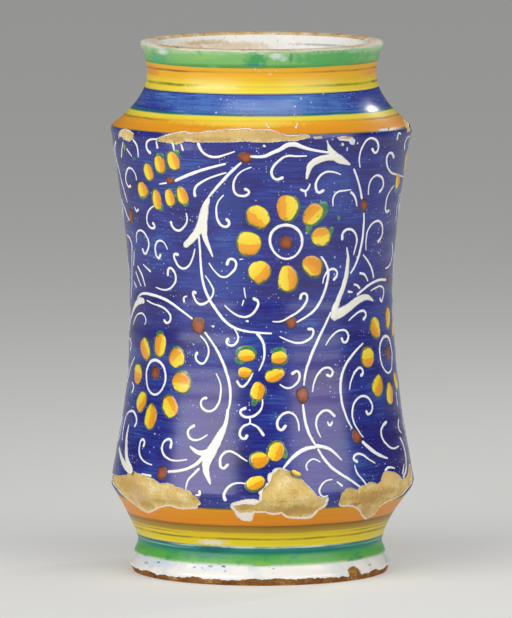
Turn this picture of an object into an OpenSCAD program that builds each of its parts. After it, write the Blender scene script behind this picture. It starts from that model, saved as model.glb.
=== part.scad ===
// Waisted pharmacy jar (albarello) in tin-glazed earthenware.
// Thrown clay sections are lapped and luted one on another, coated inside and out
// with white tin glaze, and banded with colour on the wheel.
// Millimetres. The origin is the centre of the resting ring on the table, +Z is up,
// and the side with the large glaze losses faces -Y.

/* [Foot] */
// Diameter across the foot's widest edge
foot_d = 109; // [104:0.5:116]
// Height of that edge above the table
foot_edge_h = 3.5; // [2.8:0.1:5]
// How far the foot is rounded in below its edge
foot_round = 0.8; // [0.2:0.1:1.5]
// Diameter at the ankle, the narrow place above the foot
ankle_d = 100.6; // [94:0.2:106]
// Height of the ankle above the table
ankle_h = 12.4; // [10:0.1:15]
// Bare clay left below the glaze
foot_bare_h = 2.6; // [1:0.1:4]
// Hollow under the floor
base_recess = 2.5; // [1.5:0.1:4]
// Thickness of the floor slab
floor_t = 7; // [5:0.1:9]
// Width of the ledge that the floor slab sits on
floor_seat_w = 4; // [2:0.1:6]

/* [Heel and belly] */
// Rise from the ankle to the belly
heel_rise = 23.8; // [20:0.1:30]
// Diameter where heel and body walls meet, before the corner is rounded
belly_d = 125.8; // [118:0.2:134]
// Softness of the rounded corner at the belly
belly_turn = 3; // [1.5:0.1:4]

/* [Body] */
// Diameter of the waist
waist_d = 108; // [98:0.5:114]
// Height from the belly up to the waist
lower_h = 71.8; // [55:0.2:90]
// Height from the waist up to the shoulder
upper_h = 77; // [60:0.2:95]

/* [Shoulder and neck] */
// Diameter where body and shoulder meet, before the corner is rounded
shoulder_d = 125; // [118:0.2:132]
// Softness of the rounded corner at the shoulder
shoulder_turn = 2; // [1:0.1:3]
// Height from the shoulder up to the throat
shoulder_h = 22; // [19:0.1:27]
// Diameter at the throat, the narrowest place of the neck
throat_d = 94.6; // [86:0.2:102]
// Height from the throat up to the lip's crest
neck_h = 13; // [10.5:0.1:17]
// Diameter across the lip
lip_d = 102; // [97:0.2:110]
// Rounding of the lip's crest
lip_round = 1; // [0.4:0.1:1.6]

/* [Wall and coats] */
// Clay thickness of the body, measured level
wall_t = 6; // [5:0.1:8]
// Clay thickness of the neck, measured level
neck_wall_t = 5; // [4:0.1:7]
// How much lower the shoulder's curve runs on the inside
shoulder_drop = 4; // [2.5:0.1:6]
// Height of the lap where one clay section sits over the next
lap_h = 3; // [1.5:0.1:4]
// White tin glaze on the outside, measured level
tin_t = 0.5; // [0.3:0.05:0.9]
// Painted colour coat over it, measured level
colour_t = 0.3; // [0.15:0.05:0.5]
// White tin glaze on the inside
lining_t = 0.5; // [0.3:0.05:0.9]

/* [Painted bands] */
// Bare, worn crest above the green lip band
lip_bare_h = 1; // [0.5:0.1:2]
// Orange band above the throat
neck_orange_w = 5.2; // [3:0.1:7]
// Yellow band below the throat
neck_yellow_w = 5.9; // [3:0.1:8]
// Yellow line below the shoulder's blue band
shoulder_yellow_w = 2.3; // [1:0.1:4]
// Orange band above the shoulder's edge
shoulder_orange_w = 5.2; // [3:0.1:7]
// How far the blue ground runs down past the belly
ground_drop = 3.6; // [1:0.1:6]
// Orange band on the heel
heel_orange_w = 7.8; // [5:0.1:9]
// Deep blue-green line above the foot's green band
foot_teal_w = 3; // [1.5:0.1:4]
// Green band round the ankle
foot_green_w = 4.9; // [3:0.1:6]
// White band on the foot's edge
foot_white_w = 5.3; // [3:0.1:7]

/* [Hidden] */
$fn = 180;

// Radii of the turning points of the outline
foot_r = foot_d / 2;
ankle_r = ankle_d / 2;
belly_r = belly_d / 2;
waist_r = waist_d / 2;
shoulder_r = shoulder_d / 2;
throat_r = throat_d / 2;
lip_r = lip_d / 2;

// Heights of the turning points above the table
z_ankle = ankle_h;
z_belly = z_ankle + heel_rise;
z_waist = z_belly + lower_h;
z_shoulder = z_waist + upper_h;
z_throat = z_shoulder + shoulder_h;
z_top = z_throat + neck_h;

// Levels of the coats and bands
coat_t = tin_t + colour_t;
z_lip_glaze = z_top - lip_bare_h;
z_neck_orange = z_throat + neck_orange_w;
z_neck = z_throat - neck_yellow_w;
z_shoulder_orange = z_shoulder + shoulder_orange_w;
z_shoulder_yellow = z_shoulder_orange + shoulder_yellow_w;
z_ground = z_belly - ground_drop;
z_heel_yellow = z_ground - heel_orange_w;
z_foot_green = foot_bare_h + foot_white_w;
z_foot_teal = z_foot_green + foot_green_w;
z_heel_paint = z_foot_teal + foot_teal_w;
z_floor = base_recess + floor_t;
floor_r = ankle_r - coat_t - wall_t;

// Bend of each stretch of the outline: 1 is straight, higher turns later
foot_bend = 1.3;
heel_bend = 1.5;
body_bend = 1.6;
shoulder_bend = 2;
neck_bend = 1.8;

// The lower of two curves, rounded over a softness k where they cross
function soft_min(a, b, k) =
    let (near = max(k - abs(a - b), 0) / k)
    min(a, b) - near * near * k / 4;

// A sweep from radius r0 to r1 as the share t of its height goes from 0 to 1
function sweep(r0, r1, t, bend) = r0 + (r1 - r0) * pow(max(t, 0), bend);

function foot_curve(z) =
    z < foot_edge_h
        ? foot_r - foot_round * pow(1 - z / foot_edge_h, 2)
        : sweep(ankle_r, foot_r, (z_ankle - z) / (z_ankle - foot_edge_h), foot_bend);
function heel_curve(z) = sweep(ankle_r, belly_r, (z - z_ankle) / heel_rise, heel_bend);
function body_curve(z) =
    z < z_waist
        ? sweep(waist_r, belly_r, (z_waist - z) / lower_h, body_bend)
        : sweep(waist_r, shoulder_r, (z - z_waist) / upper_h, body_bend);
function shoulder_curve(z) = sweep(throat_r, shoulder_r, (z_throat - z) / shoulder_h, shoulder_bend);
function neck_curve(z) = sweep(throat_r, lip_r, (z - z_throat) / neck_h, neck_bend);

// Radius of the finished outside at height z
function outline(z) =
    z <= z_ankle ? foot_curve(z)
    : z >= z_throat ? neck_curve(z)
    : soft_min(soft_min(heel_curve(z), body_curve(z), belly_turn), shoulder_curve(z), shoulder_turn);

// Radius of the clay's outside and inside at height z
function clay_out(z) = outline(z) - coat_t;
function clay_in(z) =
    z <= z_ankle ? floor_r
    : z >= z_throat ? neck_curve(z) - coat_t - neck_wall_t
    : soft_min(
        soft_min(heel_curve(z), body_curve(z), belly_turn) - coat_t - wall_t,
        shoulder_curve(z + shoulder_drop) - coat_t - neck_wall_t,
        shoulder_turn);
function clay_mid(z) = (clay_out(z) + clay_in(z)) / 2;

// Levels at which a section, lap or coat ends
levels = [
    0, foot_bare_h, z_foot_green, z_foot_teal, z_ankle, z_ankle + lap_h, z_heel_paint, z_heel_yellow,
    z_ground, z_belly, z_belly + lap_h, z_waist, z_waist + lap_h, z_shoulder, z_shoulder + lap_h,
    z_shoulder_orange, z_shoulder_yellow, z_neck, z_neck + lap_h, z_throat, z_neck_orange,
    z_lip_glaze, z_top - lip_round, z_top
];

// Heights that sample the curves, closer at the two corners and clear of the levels
corner_h = 4.4;
least_step = 0.2;
hair = 0.001;
function spread(a, b, n) = [for (i = [0 : n]) a + (b - a) * i / n];
function nearest(z, list) = min([for (other = list) abs(z - other)]);
samples = [
    for (z = concat(
        spread(0, foot_edge_h, 2),
        spread(foot_edge_h, z_ankle, 5),
        spread(z_ankle, z_belly - corner_h, 8),
        spread(z_belly - corner_h, z_belly + corner_h, 8),
        spread(z_belly + corner_h, z_waist, 10),
        spread(z_waist, z_shoulder - corner_h, 10),
        spread(z_shoulder - corner_h, z_shoulder + corner_h, 8),
        spread(z_shoulder + corner_h, z_throat, 8),
        spread(z_throat, z_top, 6)))
    if (nearest(z, levels) > least_step) z
];

// All coats and sections share one list of heights, so their faces meet exactly
function sorted(list) =
    len(list) < 2 ? list
    : let (pivot = list[0])
      concat(
        sorted([for (z = list) if (z < pivot - hair) z]),
        [pivot],
        sorted([for (z = list) if (z > pivot + hair) z]));
heights = sorted(concat(levels, samples));

// The shared heights from z0 to z1, going up or going down
function up(z0, z1) = [for (z = heights) if (z > z0 - hair && z < z1 + hair) z];
function down(z1, z0) =
    let (rising = up(z0, z1))
    [for (i = [len(rising) - 1 : -1 : 0]) rising[i]];

// A coat on the outside from z0 to z1, between two depths under the finished surface
module coat(z0, z1, top_depth, under_depth) {
    rotate_extrude()
        polygon(concat(
            [for (z = up(z0, z1)) [outline(z) - top_depth, z]],
            [for (z = down(z1, z0)) [outline(z) - under_depth, z]]));
}

// A painted band from z0 to z1
module band(z0, z1) coat(z0, z1, 0, colour_t);

// A thrown clay section from z0 to z1. Its inner half is lapped up into the section
// above, and stands on the lap of the section below.
module clay_section(z0, z1) {
    rotate_extrude()
        polygon(concat(
            [for (z = up(z0, z1)) [clay_out(z), z]],
            [[clay_mid(z1), z1], [clay_mid(z1 + lap_h), z1 + lap_h]],
            [for (z = down(z1 + lap_h, z0 + lap_h)) [clay_in(z), z]],
            [[clay_mid(z0 + lap_h), z0 + lap_h], [clay_mid(z0), z0]]));
}

// Glaze losses: angle round the jar from the front, level of the outline's zero,
// and the outline of the loss as seen square on
belly_flakes = [
    [6.5, [[-19.5, -1.6], [-11, 0.5], [-8, 1.6], [-5, 8], [-4, 11.6], [0.5, 13], [5, 12.5], [9.5, 9],
           [14, 5], [19.5, 0.6], [19.8, -1.6], [14, -2.8], [4, -2.6], [-9.5, -2.9], [-18.5, -2.6]]],
    [-52, [[-34, 1.6], [-20, 5], [-5, 8.5], [4.5, 6.5], [13.5, 5.4], [21, 3.7], [25.5, 1.7],
           [28.5, -1.6], [12.5, -2.7], [2, -2.9], [-9.5, -2.6], [-22.5, -1.6], [-33, -0.6]]],
    [58, [[-27.5, -1.5], [-25, 1.5], [-15, 3.7], [-11.5, 5], [-4.5, 4.7], [-3, 8], [4.5, 7.4],
          [13, 3.8], [29, 0.6], [26.5, -1.7], [4.5, -2.6], [-9, -2.9], [-20.5, -2.7], [-27, -2.5]]]
];
shoulder_flakes = [
    [-13, [[-32, -1.7], [-26, 0.5], [-19, 1.5], [-12, 0.7], [-5, 1.7], [8.5, 2.8], [14.5, 2.5],
           [19, 1.7], [23, 0.6], [31, -0.5], [27, -1.8], [0, -2.6], [-28, -2.8]]],
    [-66, [[-4.5, 1.6], [2, 1.9], [5, -0.5], [3, -2.6], [-4, -1.7]]],
    [76, [[-4, 0.7], [-1, 2.8], [5, 2.5], [4, -1.6], [-2, -1.9]]]
];

// Prisms that cut the listed losses, out from inside the wall
module flakes(list, level) {
    start = waist_r / 2;
    reach = max(belly_r, shoulder_r) - start + wall_t;
    for (flake = list)
        rotate([0, 0, flake[0]])
            translate([0, -start, level])
                rotate([90, 0, 0])
                    linear_extrude(reach)
                        polygon(flake[1]);
}

module all_flakes() {
    flakes(belly_flakes, z_belly);
    flakes(shoulder_flakes, z_shoulder);
}

// Flat slab that closes the bottom, dropped into the foot ring
module floor_slab() {
    color("#c79a58")
        translate([0, 0, base_recess])
            cylinder(h = floor_t, r = floor_r);
}

// Spreading foot with the ledge for the floor slab
module foot_ring() {
    color("#8a5a2c")
        rotate_extrude()
            polygon(concat(
                [for (z = up(0, z_ankle)) [clay_out(z), z]],
                [[clay_mid(z_ankle), z_ankle],
                 [clay_mid(z_ankle + lap_h), z_ankle + lap_h],
                 [clay_in(z_ankle + lap_h), z_ankle + lap_h],
                 [floor_r, z_ankle],
                 [floor_r, base_recess],
                 [floor_r - floor_seat_w, base_recess],
                 [floor_r - floor_seat_w, 0]]));
}

module heel_wall() color("#cda264") clay_section(z_ankle, z_belly);

module lower_body_wall() color("#d4aa68") clay_section(z_belly, z_waist);

module upper_body_wall() color("#d1a766") clay_section(z_waist, z_shoulder);

module shoulder_wall() color("#cfa562") clay_section(z_shoulder, z_neck);

// Neck with the rounded lip
module neck_wall() {
    color("#c89a58")
        rotate_extrude()
            polygon(concat(
                [for (z = up(z_neck, z_top - lip_round)) [clay_out(z), z]],
                [[clay_out(z_top) - lip_round, z_top], [clay_in(z_top) + lip_round, z_top]],
                [for (z = down(z_top - lip_round, z_neck + lap_h)) [clay_in(z), z]],
                [[clay_mid(z_neck + lap_h), z_neck + lap_h], [clay_mid(z_neck), z_neck]]));
}

// White glaze over the whole outside, from above the bare foot to the lip
module outer_tin_glaze() {
    color("#f1ece0")
        difference() {
            coat(foot_bare_h, z_lip_glaze, colour_t, coat_t);
            all_flakes();
        }
}

// White glaze over the floor and up the inside to the lip
module inner_tin_glaze() {
    color("#ece6d6")
        rotate_extrude()
            polygon(concat(
                [[0, z_floor], [floor_r, z_floor]],
                [for (z = up(z_ankle, z_lip_glaze)) [clay_in(z), z]],
                [for (z = down(z_lip_glaze, z_ankle)) [clay_in(z) - lining_t, z]],
                [[floor_r - lining_t, z_floor + lining_t], [0, z_floor + lining_t]]));
}

module lip_green_band() color("#4fae72") band(z_neck_orange, z_lip_glaze);

module neck_orange_band() color("#f0a22c") band(z_throat, z_neck_orange);

module neck_yellow_band() color("#f5d03a") band(z_neck, z_throat);

module shoulder_blue_band() color("#3a58a6") band(z_shoulder_yellow, z_neck);

module shoulder_yellow_band() color("#ecc838") band(z_shoulder_orange, z_shoulder_yellow);

module shoulder_orange_band() {
    color("#ee9f2e")
        difference() {
            band(z_shoulder, z_shoulder_orange);
            flakes(shoulder_flakes, z_shoulder);
        }
}

// Deep blue ground over the waisted body
module body_blue_ground() {
    color("#33338f")
        difference() {
            band(z_ground, z_shoulder);
            all_flakes();
        }
}

module heel_orange_band() color("#e28f2c") band(z_heel_yellow, z_ground);

module heel_yellow_band() color("#e6bf36") band(z_heel_paint, z_heel_yellow);

module foot_teal_band() color("#1a7880") band(z_foot_teal, z_heel_paint);

module foot_green_band() color("#4aa86a") band(z_foot_green, z_foot_teal);

floor_slab();
foot_ring();
heel_wall();
lower_body_wall();
upper_body_wall();
shoulder_wall();
neck_wall();
outer_tin_glaze();
inner_tin_glaze();
lip_green_band();
neck_orange_band();
neck_yellow_band();
shoulder_blue_band();
shoulder_yellow_band();
shoulder_orange_band();
body_blue_ground();
heel_orange_band();
heel_yellow_band();
foot_teal_band();
foot_green_band();
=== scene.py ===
import math
import random

import bmesh
import bpy
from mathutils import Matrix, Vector, geometry, noise


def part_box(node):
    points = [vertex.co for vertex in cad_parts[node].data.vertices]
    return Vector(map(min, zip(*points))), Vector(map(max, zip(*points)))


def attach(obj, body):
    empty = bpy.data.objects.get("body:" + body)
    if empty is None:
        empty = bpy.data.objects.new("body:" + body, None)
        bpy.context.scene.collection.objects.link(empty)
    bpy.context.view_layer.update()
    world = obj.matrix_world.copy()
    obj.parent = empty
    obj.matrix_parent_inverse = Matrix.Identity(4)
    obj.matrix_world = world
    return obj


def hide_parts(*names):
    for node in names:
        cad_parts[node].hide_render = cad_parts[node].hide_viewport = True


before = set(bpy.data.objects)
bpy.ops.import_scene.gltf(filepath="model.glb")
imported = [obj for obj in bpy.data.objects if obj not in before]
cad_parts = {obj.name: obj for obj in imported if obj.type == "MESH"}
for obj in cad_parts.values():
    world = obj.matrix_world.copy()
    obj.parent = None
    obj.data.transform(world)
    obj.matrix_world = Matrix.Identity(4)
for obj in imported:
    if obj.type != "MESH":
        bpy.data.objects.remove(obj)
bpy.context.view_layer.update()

# Sizes are in millimetres here, and each mesh is written in metres
MM = 0.001


def low(node):
    """Lowest level of a CAD node, in millimetres."""
    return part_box(node)[0].z / MM


def high(node):
    """Highest level of a CAD node, in millimetres."""
    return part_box(node)[1].z / MM


# Levels of the sections and bands, from the frame
Z_BARE = low("outer_tin_glaze")
Z_FOOT_GREEN = low("foot_green_band")
Z_TEAL = low("foot_teal_band")
Z_HEEL_YELLOW = low("heel_yellow_band")
Z_HEEL_ORANGE = low("heel_orange_band")
Z_GROUND = low("body_blue_ground")
Z_SHOULDER_ORANGE = low("shoulder_orange_band")
Z_SHOULDER_YELLOW = low("shoulder_yellow_band")
Z_SHOULDER_BLUE = low("shoulder_blue_band")
Z_NECK_YELLOW = low("neck_yellow_band")
Z_NECK_ORANGE = low("neck_orange_band")
Z_LIP_GREEN = low("lip_green_band")
Z_LIP_GLAZE = high("lip_green_band")
Z_ANKLE = low("heel_wall")
Z_BELLY = low("lower_body_wall")
Z_WAIST = low("upper_body_wall")
Z_SHOULDER = low("shoulder_wall")
Z_NECK = low("neck_wall")
Z_THROAT = Z_NECK_ORANGE
Z_TOP = high("neck_wall")
Z_RECESS = low("floor_slab")
Z_FLOOR = high("floor_slab")

# Radii of the turned outline and thicknesses of its coats
FOOT_R = 54.5
FOOT_EDGE_H = 3.5
FOOT_ROUND = 0.8
ANKLE_R = 50.3
BELLY_R = 62.9
WAIST_R = 54.0
SHOULDER_R = 62.5
THROAT_R = 47.3
LIP_R = 51.0
LIP_ROUND = 1.0
BELLY_TURN = 3.0
SHOULDER_TURN = 2.0
WALL_T = 6.0
NECK_WALL_T = 5.0
SHOULDER_DROP = 4.0
LAP_H = 3.0
FLOOR_SEAT_W = 4.0
TIN_T = 0.5
COLOUR_T = 0.3
COAT_T = TIN_T + COLOUR_T
LINING_T = 0.5
FLOOR_R = ANKLE_R - COAT_T - WALL_T

# The photograph's frame in pixels and the camera that fits it
PHOTO_W = 512
PHOTO_H = 618
CAMERA_X = -2.27
CAMERA_Y = -2860.0
CAMERA_Z = 385.4
CAMERA_PITCH = math.radians(5.53)
FOCAL_PX = 6927.6
SENSOR = 36.0
# Millimetres of the jar's front that a pixel shows
PX = 0.4128


# The turned outline

def soft_min(a, b, k):
    """The lower of two curves, rounded over a softness k where they cross."""
    near = max(k - abs(a - b), 0) / k
    return min(a, b) - near * near * k / 4


def sweep(r0, r1, t, bend):
    """A sweep from radius r0 to r1 as the share t of its height goes from 0 to 1."""
    return r0 + (r1 - r0) * max(t, 0) ** bend


def foot_curve(z):
    """The bare edge of the foot, and the sweep above it."""
    if z < FOOT_EDGE_H:
        return FOOT_R - FOOT_ROUND * (1 - max(z, 0) / FOOT_EDGE_H) ** 2
    return sweep(ANKLE_R, FOOT_R, (Z_ANKLE - z) / (Z_ANKLE - FOOT_EDGE_H), 1.3)


def belly_curve(z):
    """Heel, belly and waist, up to where the shoulder turns in."""
    heel = sweep(ANKLE_R, BELLY_R, (z - Z_ANKLE) / (Z_BELLY - Z_ANKLE), 1.5)
    if z < Z_WAIST:
        body = sweep(WAIST_R, BELLY_R, (Z_WAIST - z) / (Z_WAIST - Z_BELLY), 1.6)
    else:
        body = sweep(WAIST_R, SHOULDER_R, (z - Z_WAIST) / (Z_SHOULDER - Z_WAIST), 1.6)
    return soft_min(heel, body, BELLY_TURN)


def shoulder_curve(z):
    return sweep(THROAT_R, SHOULDER_R, (Z_THROAT - z) / (Z_THROAT - Z_SHOULDER), 2)


def neck_curve(z):
    return sweep(THROAT_R, LIP_R, (z - Z_THROAT) / (Z_TOP - Z_THROAT), 1.8)


def outline(z):
    """Radius of the finished outside at height z."""
    if z <= Z_ANKLE:
        return foot_curve(z)
    if z >= Z_THROAT:
        return neck_curve(z)
    return soft_min(belly_curve(z), shoulder_curve(z), SHOULDER_TURN)


def clay_out(z):
    """Outer face of the clay, under the coats."""
    return outline(z) - COAT_T


def clay_in(z):
    """Inner face of the clay."""
    if z <= Z_ANKLE:
        return FLOOR_R
    if z >= Z_THROAT:
        return neck_curve(z) - COAT_T - NECK_WALL_T
    wall = belly_curve(z) - COAT_T - WALL_T
    slope = shoulder_curve(z + SHOULDER_DROP) - COAT_T - NECK_WALL_T
    return soft_min(wall, slope, SHOULDER_TURN)


def clay_mid(z):
    """Where the sections lap, halfway through the wall."""
    return (clay_out(z) + clay_in(z)) / 2


# The hand of the potter: small faults that every piece shares

RIM_TIP = 1.0
RIM_TIP_FROM = 196.0
# Within this radius the unevenness dies out toward the axis
CALM_R = 20
# Heights with the sideways drift of the axis, and with the fullness of the wall beyond the turned outline
LEAN = ((0, -0.7), (20, -0.6), (40, 0.5), (60, 0.55), (80, 0.65), (100, 0.15), (120, -0.1), (160, -0.3),
        (200, 0.0), (230, 0.1))
FULLNESS = ((0, 0.0), (12, 0.5), (22, 0.8), (40, 0.6), (52, 0.6), (66, 0.3), (84, 0.4), (98, 0.7),
            (108, 0.6), (120, 0.1), (132, 0.0), (230, 0.0))


def eased(knots, z):
    """Value at a height of a smooth curve through (height, value) knots."""
    for (z0, v0), (z1, v1) in zip(knots, knots[1:]):
        if z <= z1:
            t = max(0.0, (z - z0) / (z1 - z0))
            return v0 + (v1 - v0) * t * t * (3 - 2 * t)
    return knots[-1][1]


def lean(z):
    """Sideways drift of the axis with height."""
    return eased(LEAN, z)


def swell(angle, z):
    """Unevenness of the radius: out of round, throwing rings, and a fuller belly."""
    oval = 0.16 * math.sin(2 * angle + 0.7 + z / 70) + 0.1 * math.sin(3 * angle + 2.1 - z / 45)
    rings = 0.05 * math.sin(z * 0.9 + 0.6 * math.sin(angle)) + 0.04 * math.sin(z * 0.41 + angle)
    return oval + rings + eased(FULLNESS, z)


def thrown(angle, depth, z):
    """Point at an angle from the front, a depth under the finished surface and a height, in metres."""
    r = outline(z) - depth
    r += swell(angle, z) * min(1.0, r / CALM_R)
    near_rim = min(1.0, max(0.0, (z - RIM_TIP_FROM) / (Z_TOP - RIM_TIP_FROM)))
    tip = -RIM_TIP * math.cos(angle) * r / LIP_R * near_rim
    return Vector((r * math.sin(angle) + lean(z), -r * math.cos(angle), z + tip)) * MM


# The search for a pixel's place on the jar starts at this height and closes in this many times
SEARCH_Z = 100.0
SEARCH_TRIES = 12


def spot(px, py):
    """Angle and height of the point of the jar that a pixel of the photograph shows."""
    sin_p = math.sin(CAMERA_PITCH)
    cos_p = math.cos(CAMERA_PITCH)
    side = (px - PHOTO_W / 2) / FOCAL_PX
    rise = (PHOTO_H / 2 - py) / FOCAL_PX
    dx = side
    dy = cos_p + rise * sin_p
    dz = rise * cos_p - sin_p
    z = SEARCH_Z
    for _ in range(SEARCH_TRIES):
        r = outline(min(max(z, 0.0), Z_TOP)) + eased(FULLNESS, z)
        x = CAMERA_X - lean(z)
        a = dx * dx + dy * dy
        b = x * dx + CAMERA_Y * dy
        c = x * x + CAMERA_Y ** 2 - r * r
        t = (-b - math.sqrt(max(b * b - a * c, 0.0))) / a
        z = CAMERA_Z + t * dz
    return math.atan2(x + t * dx, -(CAMERA_Y + t * dy)), z


# Helpers for meshes

def rows(z0, z1, step):
    """Even heights from z0 to z1, no more than a step apart."""
    count = max(1, math.ceil((z1 - z0) / step))
    return [z0 + (z1 - z0) * i / count for i in range(count + 1)]


def put(name, data):
    """A new object in the scene, at the origin."""
    item = bpy.data.objects.new(name, data)
    bpy.context.scene.collection.objects.link(item)
    return item


# Edges bent more than this stay sharp
CREASE = math.radians(38)


def make_piece(name, bm, material, nodes=(), sharp=CREASE):
    """A piece from a bmesh: smooth faces, sharp creases, riding on the jar's one body."""
    for face in bm.faces:
        face.smooth = True
    for edge in bm.edges:
        edge.smooth = not edge.is_manifold or edge.calc_face_angle(0.0) < sharp
    mesh = bpy.data.meshes.new(name)
    bm.to_mesh(mesh)
    bm.free()
    mesh.materials.append(material)
    piece = put(name, mesh)
    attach(piece, "root")
    if nodes:
        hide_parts(*nodes)
    return piece


# Steps round the jar: plain pieces, clay with rough breaks, and the white coat with its ragged edges
STEPS = 192
CLAY_STEPS = 288
TIN_STEPS = 384
# Points nearer than this are one point, and shorter edges are slivers
MERGE = 0.0005
SLIVER = 0.0001


def turned(profile, steps=STEPS, shift=None, pit=None):
    """A turned piece: a closed outline of (radius, height) spun round the axis, then given the potter's
    hand. shift(angle, z) slides the coat along the surface, pit(angle, z) sinks its outer face."""
    bm = bmesh.new()
    verts = [bm.verts.new((0, -r, z)) for r, z in profile]
    edges = [bm.edges.new((a, b)) for a, b in zip(verts, verts[1:] + verts[:1])]
    bmesh.ops.spin(bm, geom=verts + edges, axis=(0, 0, 1), cent=(0, 0, 0), angle=2 * math.pi,
                   steps=steps, use_merge=True)
    bmesh.ops.remove_doubles(bm, verts=bm.verts, dist=MERGE)
    bmesh.ops.dissolve_degenerate(bm, edges=bm.edges, dist=SLIVER)
    bmesh.ops.recalc_face_normals(bm, faces=bm.faces)
    for vert in bm.verts:
        x, y, z = vert.co
        angle = math.atan2(x, -y)
        depth = outline(z) - math.hypot(x, y)
        if pit and depth < COAT_T + 0.01:
            depth += pit(angle, z)
        if shift:
            z += shift(angle, z)
        vert.co = thrown(angle, depth, z)
    return bm


def coat(levels, top, under):
    """Outline of a coat through its levels, between two depths under the finished surface."""
    outer = [(outline(z) - top, z) for z in levels]
    inner = [(outline(z) - under, z) for z in reversed(levels)]
    return outer + inner


# Materials

def tint(code):
    """An sRGB hex colour as linear RGBA."""
    channels = [int(code[i:i + 2], 16) / 255 for i in (1, 3, 5)]
    linear = [c / 12.92 if c <= 0.04045 else ((c + 0.055) / 1.055) ** 2.4 for c in channels]
    return (*linear, 1.0)


def add(tree, kind, links=None, **settings):
    """Adds a node, sets its properties, and sets or links its inputs."""
    node = tree.nodes.new("ShaderNode" + kind)
    for key, value in settings.items():
        setattr(node, key, value)
    for key, value in (links or {}).items():
        if isinstance(value, bpy.types.NodeSocket):
            tree.links.new(value, node.inputs[key])
        else:
            node.inputs[key].default_value = value
    return node


def ramp(tree, factor, stops, smooth=True):
    """A colour ramp with (position, hex) stops."""
    node = add(tree, "ValToRGB", {"Fac": factor})
    elements = node.color_ramp.elements
    node.color_ramp.interpolation = "EASE" if smooth else "LINEAR"
    while len(elements) < len(stops):
        elements.new(0.5)
    for element, (position, code) in zip(elements, stops):
        element.position = position
        element.color = tint(code)
    return node.outputs["Color"]


def start_material(name):
    """An empty material with its shader: (material, tree, shader, object coordinates)."""
    material = bpy.data.materials.new(name)
    material.use_nodes = True
    tree = material.node_tree
    shader = tree.nodes["Principled BSDF"]
    coords = add(tree, "TexCoord").outputs["Object"]
    return material, tree, shader, coords


def grain(tree, coords, size_mm, detail=3.0, stretch=(1, 1, 1), rough=0.55):
    """Noise whose features are about size_mm across, stretched along chosen axes."""
    scale = [s / (size_mm * MM) for s in stretch]
    place = add(tree, "Mapping", {"Vector": coords, "Scale": scale})
    cloud = add(tree, "TexNoise", {"Vector": place.outputs["Vector"], "Scale": 1.0, "Detail": detail,
                                   "Roughness": rough})
    return cloud.outputs["Fac"]


def weighed(tree, layers):
    """Layers of grain added up, each with its weight."""
    total = 0.0
    for layer, weight in layers:
        step = add(tree, "Math", {0: layer, 1: weight, 2: total}, operation="MULTIPLY_ADD")
        total = step.outputs["Value"]
    return total


def bumped(tree, shader, height, depth_mm, strength):
    """Fine relief of a given depth on the shader's normal."""
    bump = add(tree, "Bump", {"Height": height, "Distance": depth_mm * MM, "Strength": strength})
    tree.links.new(bump.outputs["Normal"], shader.inputs["Normal"])


# Brushed on while the wheel turns, so every band is drawn out round the jar
BRUSH = (0.02, 0.02, 1)


def fused_glaze(shader, gloss=0.2, shine=0.5):
    """Fired lead glaze: a clear, slightly wavy gloss over the colour."""
    shader.inputs["Roughness"].default_value = gloss
    shader.inputs["IOR"].default_value = 1.6
    shader.inputs["Specular IOR Level"].default_value = shine


# From a point on the front to the point of the far wall that shows behind it
FAR_WALL = Vector((0, 84, -4.9)) * MM
# How deep a patch reaches into the jar, in metres
BLOT_DEPTH = 0.03
# Lines change their strength at the front, between these two places before the axis, in metres: partly
# wear, and at the neck and shoulder partly painted sheen
FRONT_FADE_START = -0.045
FRONT_FADE_END = -0.034


def blots(tree, coords, colour, marks, back=Vector()):
    """Soft, frayed patches over a colour. Each mark is a pixel of the photograph, a width and height in
    pixels, a hex colour and a strength. They lie on the front, or set back from it."""
    fray = add(tree, "MapRange", {"Value": grain(tree, coords, 1.8, 4.0), "To Min": -0.8, "To Max": 0.8})
    for x, y, width, height, code, strength in marks:
        angle, z = spot(x, y)
        reach = (width * PX * MM / 2, BLOT_DEPTH, height * PX * MM / 2)
        away = add(tree, "VectorMath", {0: coords, 1: thrown(angle, 0, z) + back}, operation="SUBTRACT")
        share = add(tree, "VectorMath", {0: away.outputs["Vector"], 1: reach}, operation="DIVIDE")
        far = add(tree, "VectorMath", {0: share.outputs["Vector"]}, operation="LENGTH")
        edge = add(tree, "Math", {0: far.outputs["Value"], 1: fray.outputs["Result"]}, operation="ADD")
        cover = add(tree, "MapRange", {"Value": edge.outputs["Value"], "From Min": 1.25, "From Max": 0.55,
                                       "To Min": 0.0, "To Max": strength})
        blend = add(tree, "Mix", {"Factor": cover.outputs["Result"], 6: colour, 7: tint(code)},
                    data_type="RGBA")
        colour = blend.outputs[2]
    return colour


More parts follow.
